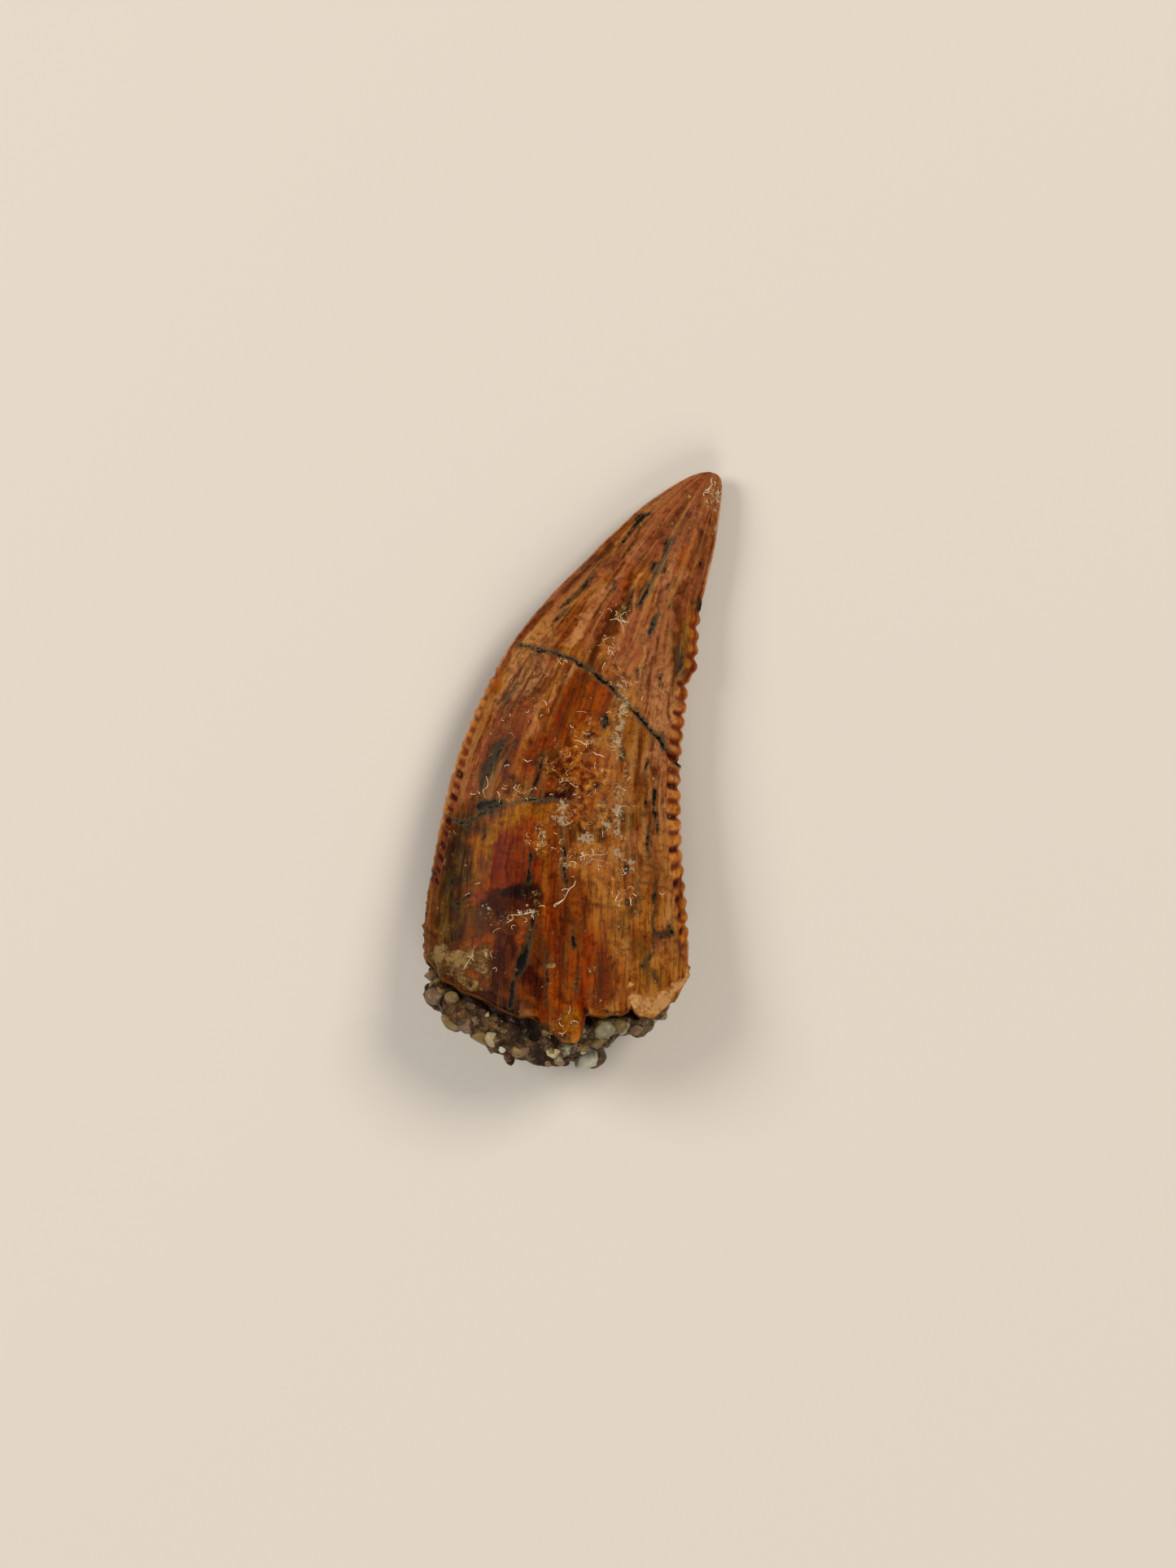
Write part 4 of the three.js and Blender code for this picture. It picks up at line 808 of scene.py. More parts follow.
enamelLook = {
    # Noises drawn out along the fibres: cells across, along and through, and detail.
    # The bands are 0.6 mm wide, the streaks 0.2 mm, and the lines and hairs finer
    "alongFibres": {
        "band": ((1.5, 0.22, 0.6), 2.0), "streak": ((3.9, 0.5, 1.5), 2.0),
        "line": ((2.5, 0.26, 0.9), 2.0), "hair": ((10.0, 1.2, 3.0), 2.0),
    },
    # Noises that lie in the tooth: cells in a metre, detail and twist.
    # Clouds are 0.5 mm wide, mottles 0.3 mm, specks 0.2 mm and grain 0.1 mm
    "solid": {
        "cloud": (2200.0, 4.0, 0.0), "mottle": (4600.0, 3.0, 0.3), "speck": (5200.0, 2.0, 0.3),
        "grain": (9000.0, 3.0, 0.0), "curl": (7600.0, 1.0, 0.6), "patch": (3400.0, 1.0, 0.0),
    },
    # The enamel between its stains, from dark to pale
    "ground": [(0.36, "#884a10"), (0.48, "#985f18"), (0.6, "#a06e26")],
    # Layers in the order that they lie: field, colour, where it starts, where it is full, strength,
    # and how much the streaks, the clouds and the grain break up its edge
    "stains": [
        ("deep", "#884202", 0.05, 0.65, 0.95, 0.6, 0.5, 0.1),
        ("buff", "#b8865a", 0.05, 0.75, 0.9, 0.6, 0.4, 0.1),
        ("blush", "#905234", 0.05, 0.75, 0.85, 0.4, 0.4, 0.1),
        ("tawny", "#b27e32", 0.05, 0.8, 0.9, 0.6, 0.5, 0.1),
        ("amber", "#984a02", 0.05, 0.6, 0.95, 0.7, 0.4, 0.1),
        ("russet", "#7a2a02", 0.0, 1.0, 0.92, 0.35, 0.4, 0.2),
        ("bronze", "#502c0a", 0.05, 0.75, 0.9, 1.0, 0.5, 0.2),
        ("honey", "#966208", 0.05, 0.85, 0.9, 0.3, 0.5, 0.1),
        ("olive", "#3d3008", 0.05, 0.8, 0.85, 0.8, 0.6, 0.2),
        ("slate", "#3a3b32", 0.1, 0.65, 0.9, 1.0, 0.5, 0.2),
        ("ember", "#2e0500", 0.0, 0.95, 0.98, 0.8, 0.5, 0.3),
        # Painted highlight on the ridges of the denticles
        ("bead", "#c8812e", 0.2, 0.9, 0.8, 0.0, 0.4, 0.0),
        # Painted rim light along the outlines
        ("paintedRimLight", "#cc9c74", 0.3, 0.9, 0.8, 0.0, 0.8, 0.4),
        # Dark dirt, and painted shade along the broken rim
        ("sootAndRimShade", "#100603", 0.15, 0.8, 0.94, 0.6, 0.9, 0.4),
    ],
    # How the fibres shade the ground and its stains
    "shade": [(0.32, "#8a5e3c"), (0.42, "#c9a284"), (0.5, "#efe3d8"), (0.58, "#ffffff")],
    "specks": [(0.36, "#9a6a4c"), (0.46, "#f4ece4"), (0.56, "#ffffff")],
    "paleFibre": "#b07c44",
    "goldFibre": "#6c4c12",
    "fineLine": "#4a1c05",
    # Rough worn ground
    "mottles": [(0.38, "#260602"), (0.45, "#5a2404"), (0.53, "#8c4e0c"), (0.62, "#9c621a"), (0.7, "#b88c48")],
    # Marks lie over the fibres, and their rows say the same as those of the stains
    "marks": [
        ("umber", "#5c2e0c", 0.08, 0.0, 0.5, 0.16, 0.1, 0.1),
        ("umber", "#3c1404", 0.03, -0.03, 0.62, 0.1, 0.1, 0.12),
        ("ink", "#382e1c", 0.08, 0.0, 0.55, 0.24, 0.16, 0.12),
        ("ink", "#0b0b08", 0.0, -0.055, 0.98, 0.24, 0.16, 0.2),
        ("cracks", "#4a4432", 0.13, 0.0, 0.65, 0.06, 0.1, 0.1),
        ("cracks", "#060504", 0.01, -0.04, 0.98, 0.0, 0.16, 0.32),
        # Painted shade in the hollows between the denticles
        ("pit", "#742a0a", 0.05, 0.4, 0.85, 0.0, 0.3, 0.2),
        ("pit", "#2c0502", 0.32, 0.75, 0.94, 0.0, 0.5, 0.3),
        ("chalk", "#836440", 0.06, -0.07, 0.5, 0.0, 0.5, 0.8),
        ("chalk", "#a0937a", -0.01, -0.08, 0.62, 0.0, 0.5, 0.9),
        ("crust", "#412a10", 0.1, 0.6, 0.8, 0.0, 1.8, 1.2),
        ("crust", "#624a2a", 0.45, 0.95, 0.85, 0.0, 3.2, 1.6),
        ("crust", "#826840", 0.8, 1.3, 0.85, 0.0, 3.8, 2.4),
        ("lip", "#98602a", 0.12, 0.45, 0.85, 0.3, 0.8, 0.6),
        ("lip", "#b88e5c", 0.5, 1.1, 0.85, 0.0, 2.4, 2.4),
        ("inside", "#5c3418", 0.3, 0.8, 0.85, 0.0, 0.5, 0.0),
    ],
    "dustAndGlints": "#e0c090",
    "roughness": (0.34, 0.5),
    "bumpDepth": 0.03,
}


def brokenLayer(tree, breaks, row, easing):
    # Cover, colour and way of mixing for one row of stains or marks
    name, tint, low, high, strength, *shares = row
    field = addNode(tree, "Attribute", output="Fac", attribute_name=name)
    waver = addNode(tree, "VectorMath", [breaks, shares], output=1, operation="DOT_PRODUCT")
    field = addNode(tree, "Math", [field, waver], operation="ADD")
    cover = addNode(tree, "MapRange", [field, low, high, 0.0, strength], interpolation_type=easing)
    return cover, tint, "MIX"


def fossilEnamel(look):
    # Fossil enamel: waxy, a little translucent, stained amber along its prisms
    material, tree = newMaterial("fossilEnamel")
    soft = {"interpolation_type": "SMOOTHSTEP"}
    place = addNode(tree, "TexCoord", output="Object")
    fibre = addNode(tree, "Attribute", output="Vector", attribute_name="fibre")
    worn, deep, olive, blush, buff = [addNode(tree, "Attribute", output="Fac", attribute_name=name)
                                      for name in ("worn", "deep", "olive", "blush", "buff")]
    drawn = {}
    for name, (scale, detail) in look["alongFibres"].items():
        vector = addNode(tree, "VectorMath", [fibre, scale], operation="MULTIPLY")
        drawn[name] = addNode(tree, "TexNoise", {
            "Vector": vector, "Scale": 1.0, "Detail": detail, "Roughness": 0.6, "Distortion": 0.25})
    for name, (scale, detail, twist) in look["solid"].items():
        drawn[name] = addNode(tree, "TexNoise", {
            "Vector": place, "Scale": scale, "Detail": detail, "Roughness": 0.6, "Distortion": twist})
    breaks = addNode(tree, "CombineXYZ", [drawn["streak"], drawn["cloud"], drawn["grain"]])
    breaks = addNode(tree, "VectorMath", [breaks, (0.5, 0.5, 0.5)], operation="SUBTRACT")
    layers = [brokenLayer(tree, breaks, row, "LINEAR") for row in look["stains"]]

    # Fibres run through the stains, least where the enamel is palest
    blend = addNode(tree, "Mix", {0: 0.5, 2: drawn["band"], 3: drawn["streak"]})
    smooth = addNode(tree, "Math", [blush, buff], operation="ADD")
    most = addNode(tree, "MapRange", [smooth, 0.2, 1.2, 0.95, 0.4])
    layers.append((most, addNode(tree, "ValToRGB", [blend], stops=look["shade"]), "MULTIPLY"))
    # Fine fibres, plainest in the lower half
    height = addNode(tree, "SeparateXYZ", [fibre], output=1)
    fine = addNode(tree, "MapRange", [height, 6.5, 10.0, 0.6, 0.15])
    for source, most in (("speck", 0.55), ("cloud", 0.6), ("hair", fine)):
        layers.append((most, addNode(tree, "ValToRGB", [drawn[source]], stops=look["specks"]), "MULTIPLY"))
    most = addNode(tree, "MapRange", [deep, 0.1, 0.8, 0.4, 0.0])
    pale = addNode(tree, "MapRange", [blend, 0.5, 0.62, 0.0, most], **soft)
    layers.append((pale, look["paleFibre"], "MIX"))
    most = addNode(tree, "MapRange", [olive, 0.2, 1.0, 0.0, 0.6])
    gold = addNode(tree, "MapRange", [drawn["hair"], 0.46, 0.6, 0.0, most], **soft)
    gaps = addNode(tree, "MapRange", [drawn["cloud"], 0.42, 0.58, 0.15, 1.0], **soft)
    layers.append((addNode(tree, "Math", [gold, gaps], operation="MULTIPLY"), look["goldFibre"], "MIX"))
    gaps = addNode(tree, "MapRange", [drawn["cloud"], 0.42, 0.56, 0.0, 1.0], **soft)
    for source, middle, width, strength in (("line", 0.5, 0.03, 0.3), ("hair", 0.4, 0.05, 0.15)):
        off = addNode(tree, "Math", [drawn[source], middle], operation="SUBTRACT")
        off = addNode(tree, "Math", [off], operation="ABSOLUTE")
        cover = addNode(tree, "MapRange", [off, width, 0.0, 0.0, strength], **soft)
        layers.append((addNode(tree, "Math", [cover, gaps], operation="MULTIPLY"), look["fineLine"], "MIX"))
    # Where the enamel has worn away, the ground is mottled instead
    waver = addNode(tree, "VectorMath", [breaks, (1.2, 2.0, 0.6)], output=1, operation="DOT_PRODUCT")
    cover = addNode(tree, "Math", [worn, waver], operation="ADD")
    cover = addNode(tree, "MapRange", [cover, 0.15, 1.1, 0.0, 0.7], **soft)
    layers.append((cover, addNode(tree, "ValToRGB", [drawn["mottle"]], stops=look["mottles"]), "MIX"))
    layers += [brokenLayer(tree, breaks, row, "SMOOTHSTEP") for row in look["marks"]]

    # Dust and painted glints: short pale curls where the ground is rough
    off = addNode(tree, "Math", [drawn["curl"], 0.5], operation="SUBTRACT")
    off = addNode(tree, "Math", [off], operation="ABSOLUTE")
    dustAndGlints = addNode(tree, "MapRange", [off, 0.015, 0.003, 0.0, 0.75], **soft)
    for source, low, high in ((drawn["patch"], 0.48, 0.58), (worn, 0.15, 0.6)):
        cover = addNode(tree, "MapRange", [source, low, high, 0.0, 1.0], **soft)
        dustAndGlints = addNode(tree, "Math", [dustAndGlints, cover], operation="MULTIPLY")
    layers.append((dustAndGlints, look["dustAndGlints"], "MIX"))

    colour = addNode(tree, "ValToRGB", [drawn["band"]], stops=look["ground"])
    for cover, tint, mixing in layers:
        colour = addNode(tree, "Mix", {0: cover, 6: colour, 7: tint}, output=2,
                         data_type="RGBA", blend_type=mixing)

    bumps = addNode(tree, "Mix", {0: 0.6, 2: drawn["hair"], 3: drawn["grain"]})
    pitted = addNode(tree, "Math", [drawn["mottle"], worn], operation="MULTIPLY")
    for more in (dustAndGlints, pitted):
        bumps = addNode(tree, "Math", [bumps, more], operation="ADD")
    bump = addNode(tree, "Bump", {"Height": bumps, "Strength": 0.6, "Distance": look["bumpDepth"] * mm})
    roughness = addNode(tree, "MapRange", [drawn["cloud"], 0.3, 0.7, *look["roughness"]])
    shader = addNode(tree, "BsdfPrincipled", {
        "Base Color": colour, "Roughness": roughness, "IOR": 1.6, "Specular IOR Level": 0.035, "Normal": bump,
        "Subsurface Weight": 0.12, "Subsurface Radius": (1.0, 0.4, 0.15), "Subsurface Scale": 0.35 * mm})
    addNode(tree, "OutputMaterial", [shader])
    return material


crownPiece = finishPiece(makeCrown(), fossilEnamel(enamelLook), "enamel", "crown")


# The sand in the broken base: brown cement, and the quartz grains that it holds

sand = {
    "voxel": 0.075,  # size of the faces of the bare cement, and how often they are smoothed
    "smoothing": 5,
    "meltVoxel": 0.06,  # the small grains are melted into the cement with these
    "meltSmoothing": 4,
    "roughness": (3.2, 0.14),  # noise cells in each mm, height in mm
    "gapDepth": 0.24,  # how far the cement has shrunk back under the enamel's rim
    "gapEdge": (0.1, -0.06),
    # Where that gap shows, sunk and painted dark as shadow: x, y, half width
    "gaps": [
        [(-4.25, -6.0, 0.06), (-4.2, -6.18, 0.12), (-4.0, -6.45, 0.08), (-3.7, -6.7, 0.08),
         (-3.3, -6.92, 0.12), (-2.9, -7.05, 0.13), (-2.4, -7.25, 0.16), (-1.95, -7.55, 0.17),
         (-1.5, -7.7, 0.22), (-1.3, -7.95, 0.28), (-1.1, -8.2, 0.16)],
        [(0.33, -7.48, 0.07), (0.46, -7.7, 0.11), (0.42, -7.9, 0.07)],
        [(0.85, -7.55, 0.04), (1.25, -7.52, 0.05), (1.45, -7.5, 0.06)],
        [(1.72, -7.42, 0.09), (1.98, -7.6, 0.05)], [(-0.55, -8.2, 0.06), (-0.2, -8.25, 0.07)],
    ],
    "tints": {"rose": "#78604a", "milk": "#848468", "straw": "#78623a", "smoke": "#483420",
              "glass": "#382814", "pearl": "#aca07a", "amber": "#5c3c10", "rust": "#3d0a02",
              "white": "#c6c8b4"},
    "leftKinds": ("rose", "straw", "straw", "smoke", "smoke", "glass", "glass", "amber", "amber", "rust"),
    "rightKinds": ("milk", "milk", "straw", "straw", "pearl", "rose", "smoke"),
    "divide": (0.2, 0.8),  # where the brown sand gives way to the paler sand, and how widely they mix
    "rightSilt": ("#5e5438", 0.5),  # colour and cover of the paler silt on the right
    "siltEdge": (-0.9, 1.3),
    "cementTints": [(0.36, "#140903"), (0.46, "#281608"), (0.56, "#402912"), (0.68, "#604828")],
    # Painted shadow in the gap under the enamel's rim
    "gapShadowTint": "#1c0c07",
    "veilTint": "#5a4632",
    # Shape of a grain: lumps (height, cells), worn flats, their reach, and how far they are worn down
    "lumps": [(0.14, 1.3), (0.04, 4)],
    "flats": 7,
    "flatReach": (0.6, 0.88),
    "flatWear": 0.9,
    "shades": (0.75, 1.2),
    # gapShade is painted shade on the grains that lie in the gap
    "gapShade": 0.7,  # how much darker the grains in the gap are
    # Grains that show from above: x, y, half length, half width, turn in degrees, tint
    "placed": [
        (-4.36, -6.36, 0.23, 0.2, 0, "rose"), (-4.13, -6.54, 0.13, 0.1, 0, "milk"),
        (-4.22, -6.98, 0.31, 0.27, 0, "rose"), (-3.69, -7.0, 0.24, 0.22, 0, "straw"),
        (-3.72, -7.76, 0.36, 0.22, -38, "straw"), (-3.98, -7.4, 0.24, 0.18, -55, "amber"),
        (-3.22, -7.86, 0.31, 0.25, -20, "rose"), (-3.38, -7.5, 0.22, 0.18, 20, "amber"),
        (-2.8, -8.22, 0.28, 0.22, -30, "straw"), (-2.44, -8.26, 0.27, 0.22, -45, "pearl"),
        (-2.16, -8.52, 0.19, 0.14, -35, "white"), (-1.95, -8.66, 0.19, 0.17, 0, "rust"),
        (-1.96, -8.88, 0.19, 0.15, 0, "amber"), (-1.66, -8.6, 0.22, 0.18, 0, "straw"),
        (-1.28, -8.72, 0.28, 0.17, -10, "smoke"), (-0.58, -8.62, 0.24, 0.19, 0, "pearl"),
        (-0.74, -8.95, 0.22, 0.14, 0, "rose"), (-0.4, -8.9, 0.19, 0.14, 0, "rose"),
        (-2.6, -7.5, 0.08, 0.1, 0, "pearl"), (-1.8, -7.66, 0.14, 0.12, 0, "smoke"),
        (-2.34, -7.65, 0.14, 0.16, 0, "smoke"), (-3.08, -7.25, 0.2, 0.14, -20, "smoke"),
        (-0.74, -8.0, 0.2, 0.12, 0, "straw"), (-0.85, -8.25, 0.2, 0.18, 0, "smoke"),
        (-2.85, -7.7, 0.16, 0.13, 0, "smoke"), (-2.1, -8.0, 0.18, 0.15, 0, "straw"),
        (-2.4, -7.95, 0.15, 0.12, 0, "glass"), (0.4, -8.88, 0.45, 0.31, 24, "white"),
        (0.95, -7.96, 0.36, 0.26, 18, "milk"), (0.54, -8.12, 0.15, 0.13, 0, "glass"),
        (0.34, -8.1, 0.1, 0.09, 0, "rose"), (1.4, -7.85, 0.24, 0.22, 0, "straw"),
        (1.5, -8.02, 0.15, 0.1, 30, "milk"), (1.91, -7.92, 0.25, 0.22, 40, "rose"),
        (2.12, -7.76, 0.12, 0.1, 0, "smoke"), (1.01, -8.16, 0.13, 0.08, 20, "pearl"),
        (0.73, -8.35, 0.3, 0.19, 28, "straw"), (0.3, -8.48, 0.28, 0.16, 10, "straw"),
        (-0.04, -8.54, 0.16, 0.14, 0, "smoke"), (2.62, -7.58, 0.17, 0.12, 30, "glass"),
        (2.45, -7.64, 0.08, 0.11, 0, "pearl"), (2.84, -7.36, 0.16, 0.13, 40, "straw"),
        (3.04, -7.1, 0.12, 0.11, 40, "straw"), (1.68, -7.7, 0.16, 0.13, 0, "smoke"),
        (0.1, -8.75, 0.14, 0.12, 0, "smoke"),
    ],
    "flattening": 0.85,  # height of those grains, as a share of their width
    "large": 0.3,
    "stand": (-0.2, 0.1),  # how far small and large ones stand out of the cement, as shares of their height
    "hangHeight": 2.2,  # those past the cement's edge hang on its side at this height
    # Small grains between them
    "fillSeed": 11,
    "fillCount": 480,
    "fillRadius": (0.09, 0.32),
    "fillStretch": (0.8, 1.3),
    "fillSunk": 0.4,  # how deep their middles lie, and how close they come, as shares of their radius
    "fillSpacing": 0.66,
}


def remeshed(piece, voxel, smoothing):
    # The piece's surface in faces of one size, worn smooth
    voxels = piece.modifiers.new("voxels", "REMESH")
    voxels.mode = "VOXEL"
    voxels.voxel_size = voxel
    wear = piece.modifiers.new("wear", "SMOOTH")
    wear.iterations = smoothing
    mesh = finalMesh(piece)
    piece.modifiers.clear()
    piece.data = mesh
    return mesh


def exposed(places):
    # 1 where a point of the sand is clear of the crown, below its broken rim, and 0 in the socket
    mesialX, distalX = crown["mesialEdge"][0][0], crown["distalEdge"][0][0]
    across = np.clip((places[:, 0] - mesialX) / (distalX - mesialX), 0, 1)
    rise = np.maximum((4 * across * (1 - across)) ** 0.8, 0.05)
    level = np.clip((places[:, 2] - crown["lowerDrop"]) / (2.0 * rise), -1, 1)
    rim = crownPoint(np.zeros(len(places)), across, level)[:, 1]
    return smoothStep(-0.02, -0.2, places[:, 1] - rim)


def inGap(places):
    return smoothStep(*sand["gapEdge"], strokeGap(places[:, :2], sand["gaps"]))


def addGrain(grains, tintLayer, centre, sizes, turn, tint, rng, subdivisions=2):
    # One sub-angular grain: a ball with a few worn flats
    made = bmesh.ops.create_icosphere(grains, subdivisions=subdivisions, radius=1)["verts"]
    flats = [(Vector([rng.gauss(0, 1) for _ in range(3)]).normalized(), rng.uniform(*sand["flatReach"]))
             for _ in range(sand["flats"])]
    shift = Vector([rng.uniform(0, 50) for _ in range(3)])
    # Grains in the gap under the rim are painted darker, as shade
    hidden = smoothStep(0.15, -0.1, strokeGap(np.array([centre[:2]]), sand["gaps"]))[0]
    shade = rng.uniform(*sand["shades"]) * (1 - sand["gapShade"] * hidden)
    colour = [min(1, channel * shade) for channel in toLinear(tint)[:3]] + [1]
    for vert in made:
        swell = sum(size * noise.noise(vert.co * cells + shift) for size, cells in sand["lumps"])
        place = vert.co * (1 + swell)
        for normal, reach in flats:
            over = place.dot(normal) - reach
            if over > 0:
                place -= normal * over * sand["flatWear"]
        x, y = rotated(place.x * sizes[0], place.y * sizes[1], turn)
        vert.co = Vector((centre[0] + x, centre[1] + y, max(0.01, centre[2] + place.z * sizes[2])))
        vert[tintLayer] = colour


def makeCement(values):
    # The node's own solid, made even and then roughened
    solid = bmesh.new()
    solid.from_mesh(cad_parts["sand_matrix"].data)
    bmesh.ops.remove_doubles(solid, verts=solid.verts, dist=1e-6)
    bmesh.ops.scale(solid, vec=(1 / mm,) * 3, verts=solid.verts)
    piece = addPiece("sand_cement", meshFrom(solid, "sand_cement"))
    cement = bmesh.new()
    cement.from_mesh(remeshed(piece, values["voxel"], values["smoothing"]))
    cement.normal_update()
    places = np.array([v.co for v in cement.verts])
    normals = np.array([v.normal for v in cement.verts])
    bare = exposed(places)
    cells, height = values["roughness"]
    sunk = inGap(places) * (normals[:, 2] > 0)
    places += normals * (roughNoise(places, cells) * height * bare)[:, None]
    places[:, 2] -= values["gapDepth"] * sunk * bare
    for vert, place in zip(cement.verts, places):
        vert.co = place
    tintLayer = cement.verts.layers.float_color.new("tint")
    siltTint, siltCover = values["rightSilt"]
    for vert in cement.verts:
        vert[tintLayer] = [*toLinear(siltTint)[:3], siltCover * smoothStep(*values["siltEdge"], vert.co.x)]
    tree = BVHTree.FromBMesh(cement)

    # Small grains, half sunk in the cement and melted into it
    rng = random.Random(values["fillSeed"])
    faces = [(f.calc_center_median(), f.normal.copy(), f.calc_area()) for f in cement.faces]
    bare = exposed(np.array([f[0] for f in faces]))
    chances = [area * clear for (_, _, area), clear in zip(faces, bare)]
    taken = []
    for centre, normal, _ in rng.choices(faces, chances, k=values["fillCount"] * 4):
        radius = rng.uniform(*values["fillRadius"])
        place = centre - normal * radius * values["fillSunk"]
        near = any((place - at).length < values["fillSpacing"] * (radius + size) for at, size in taken)
        if len(taken) > values["fillCount"] or near:
            continue
        taken.append((place, radius))
        sizes = [radius * rng.uniform(*values["fillStretch"]) for _ in range(3)]
        kinds = values["rightKinds" if place.x > rng.gauss(*values["divide"]) else "leftKinds"]
        tint = values["tints"][rng.choice(kinds)]
        addGrain(cement, tintLayer, place, sizes, rng.uniform(0, 180), tint, rng)
    joint = meshFrom(cement, "sand_cement")
    piece.data = joint
    tints = np.empty(len(joint.vertices) * 4)
    joint.attributes["tint"].data.foreach_get("color", tints)
    tints = tints.reshape(-1, 4)
    finder = KDTree(len(joint.vertices))
    for vert in joint.vertices:
        finder.insert(vert.co, vert.index)
    finder.balance()
    melted = remeshed(piece, values["meltVoxel"], values["meltSmoothing"])
    nearest = [[index for _, index, _ in finder.find_n(v.co, 3)] for v in melted.vertices]
    tints = tints[np.array(nearest)].mean(1)
    places = np.array([v.co for v in melted.vertices])
    melted.attributes.new("tint", "FLOAT_COLOR", "POINT").data.foreach_set("color", tints.ravel())
    # The gap attribute says where the cement is painted dark as shadow
    melted.attributes.new("gap", "FLOAT", "POINT").data.foreach_set("value", inGap(places) * exposed(places))
    melted.transform(Matrix.Scale(mm, 4))
    return piece, tree


def makeGrains(values, tree):
    # The larger grains, each where it shows
    rng = random.Random(values["fillSeed"])
    grains = bmesh.new()
    tintLayer = grains.verts.layers.float_color.new("tint")
    for x, y, length, width, turn, tint in values["placed"]:
        height = values["flattening"] * min(length, width)
        hit = tree.ray_cast(Vector((x, y, 10)), Vector((0, 0, -1)))[0]
        if hit:
            z = hit.z + values["stand"][length > values["large"]] * height
        else:
            z = tree.find_nearest(Vector((x, y, values["hangHeight"])))[0].z
        addGrain(grains, tintLayer, (x, y, z), (length, width, height), turn, values["tints"][tint], rng, 3)
    bmesh.ops.scale(grains, vec=(mm,) * 3, verts=grains.verts)
    bmesh.ops.recalc_face_normals(grains, faces=grains.faces)
    return addPiece("sand_grains", meshFrom(grains, "sand_grains"))


def sandCement(values):
    # Small quartz grains in iron-stained carbonate and silt: glassy grains, dull porous cement between.
    # Clouds of 0.4 mm, pits of 0.12 mm and silt of 0.09 mm
    material, tree = newMaterial("sandCement")
    place = addNode(tree, "TexCoord", output="Object")
    cloud = addNode(tree, "TexNoise", {"Vector": place, "Scale": 2600.0, "Detail": 4.0, "Roughness": 0.65})
    fine = addNode(tree, "TexNoise", {"Vector": place, "Scale": 8000.0, "Detail": 3.0, "Roughness": 0.6})
    silt = addNode(tree, "TexVoronoi", {"Vector": place, "Scale": 11000.0})
    base = addNode(tree, "ValToRGB", [cloud], stops=values["cementTints"])
    tint = addNode(tree, "Attribute", output="Color", attribute_name="tint")
    share = addNode(tree, "Attribute", output="Alpha", attribute_name="tint")
    waver = addNode(tree, "Math", [fine, 0.9], operation="MULTIPLY")
    share = addNode(tree, "Math", [share, waver], operation="ADD")
    grain = addNode(tree, "MapRange", [share, 0.85, 1.35, 0.0, 0.95], interpolation_type="SMOOTHSTEP")
    colour = addNode(tree, "Mix", {0: grain, 6: base, 7: tint}, output=2, data_type="RGBA")
    # Painted shadow where the cement has shrunk back under the rim
    gap = addNode(tree, "Attribute", output="Fac", attribute_name="gap")
    dark = addNode(tree, "MapRange", [gap, 0.2, 0.8, 0.0, 0.9])
    colour = addNode(tree, "Mix", {0: dark, 6: colour, 7: values["gapShadowTint"]}, output=2, data_type="RGBA")
    bumps = addNode(tree, "Mix", {0: grain, 2: silt, 3: fine})
    bump = addNode(tree, "Bump", {"Height": bumps, "Strength": 0.7, "Distance": 0.05 * mm})
    roughness = addNode(tree, "MapRange", [grain, 0.0, 1.0, 0.75, 0.28])
    shader = addNode(tree, "BsdfPrincipled", {
        "Base Color": colour, "Roughness": roughness, "Specular IOR Level": 0.2, "Normal": bump,
        "Subsurface Weight": 0.3, "Subsurface Radius": (1.0, 0.9, 0.7), "Subsurface Scale": 0.2 * mm})
    addNode(tree, "OutputMaterial", [shader])
    return material


def quartzSand(values):
    # River quartz: cloudy, glassy on its worn flats, each grain of its own tint.
    # Clouds of 0.17 mm in it, and etching of 0.06 mm on it
    material, tree = newMaterial("quartzSand")
    place = addNode(tree, "TexCoord", output="Object")
    tint = addNode(tree, "Attribute", output="Color", attribute_name="tint")
    cloud = addNode(tree, "TexNoise", {"Vector": place, "Scale": 6000.0, "Detail": 3.0, "Roughness": 0.6})
    etched = addNode(tree, "TexNoise", {"Vector": place, "Scale": 16000.0, "Detail": 2.0, "Distortion": 0.8})
    veil = addNode(tree, "MapRange", [cloud, 0.38, 0.7, 0.0, 0.5])
    stained = addNode(tree, "Mix", {0: veil, 6: tint, 7: values["veilTint"]}, output=2, data_type="RGBA")
    bump = addNode(tree, "Bump", {"Height": etched, "Strength": 0.6, "Distance": 0.03 * mm})
    shader = addNode(tree, "BsdfPrincipled", {
        "Base Color": stained, "Roughness": 0.22, "IOR": 1.54, "Specular IOR Level": 0.22, "Normal": bump,
        "Subsurface Weight": 0.5, "Subsurface Radius": (1.0, 0.9, 0.7), "Subsurface Scale": 0.25 * mm})
    addNode(tree, "OutputMaterial", [shader])
    return material


cement, cementTree = makeCement(sand)
finishPiece(cement, sandCement(sand), "sandstone", "sand_matrix")
finishPiece(makeGrains(sand, cementTree), quartzSand(sand), "sandstone")


# Lint and dust fibres that cling to the tooth

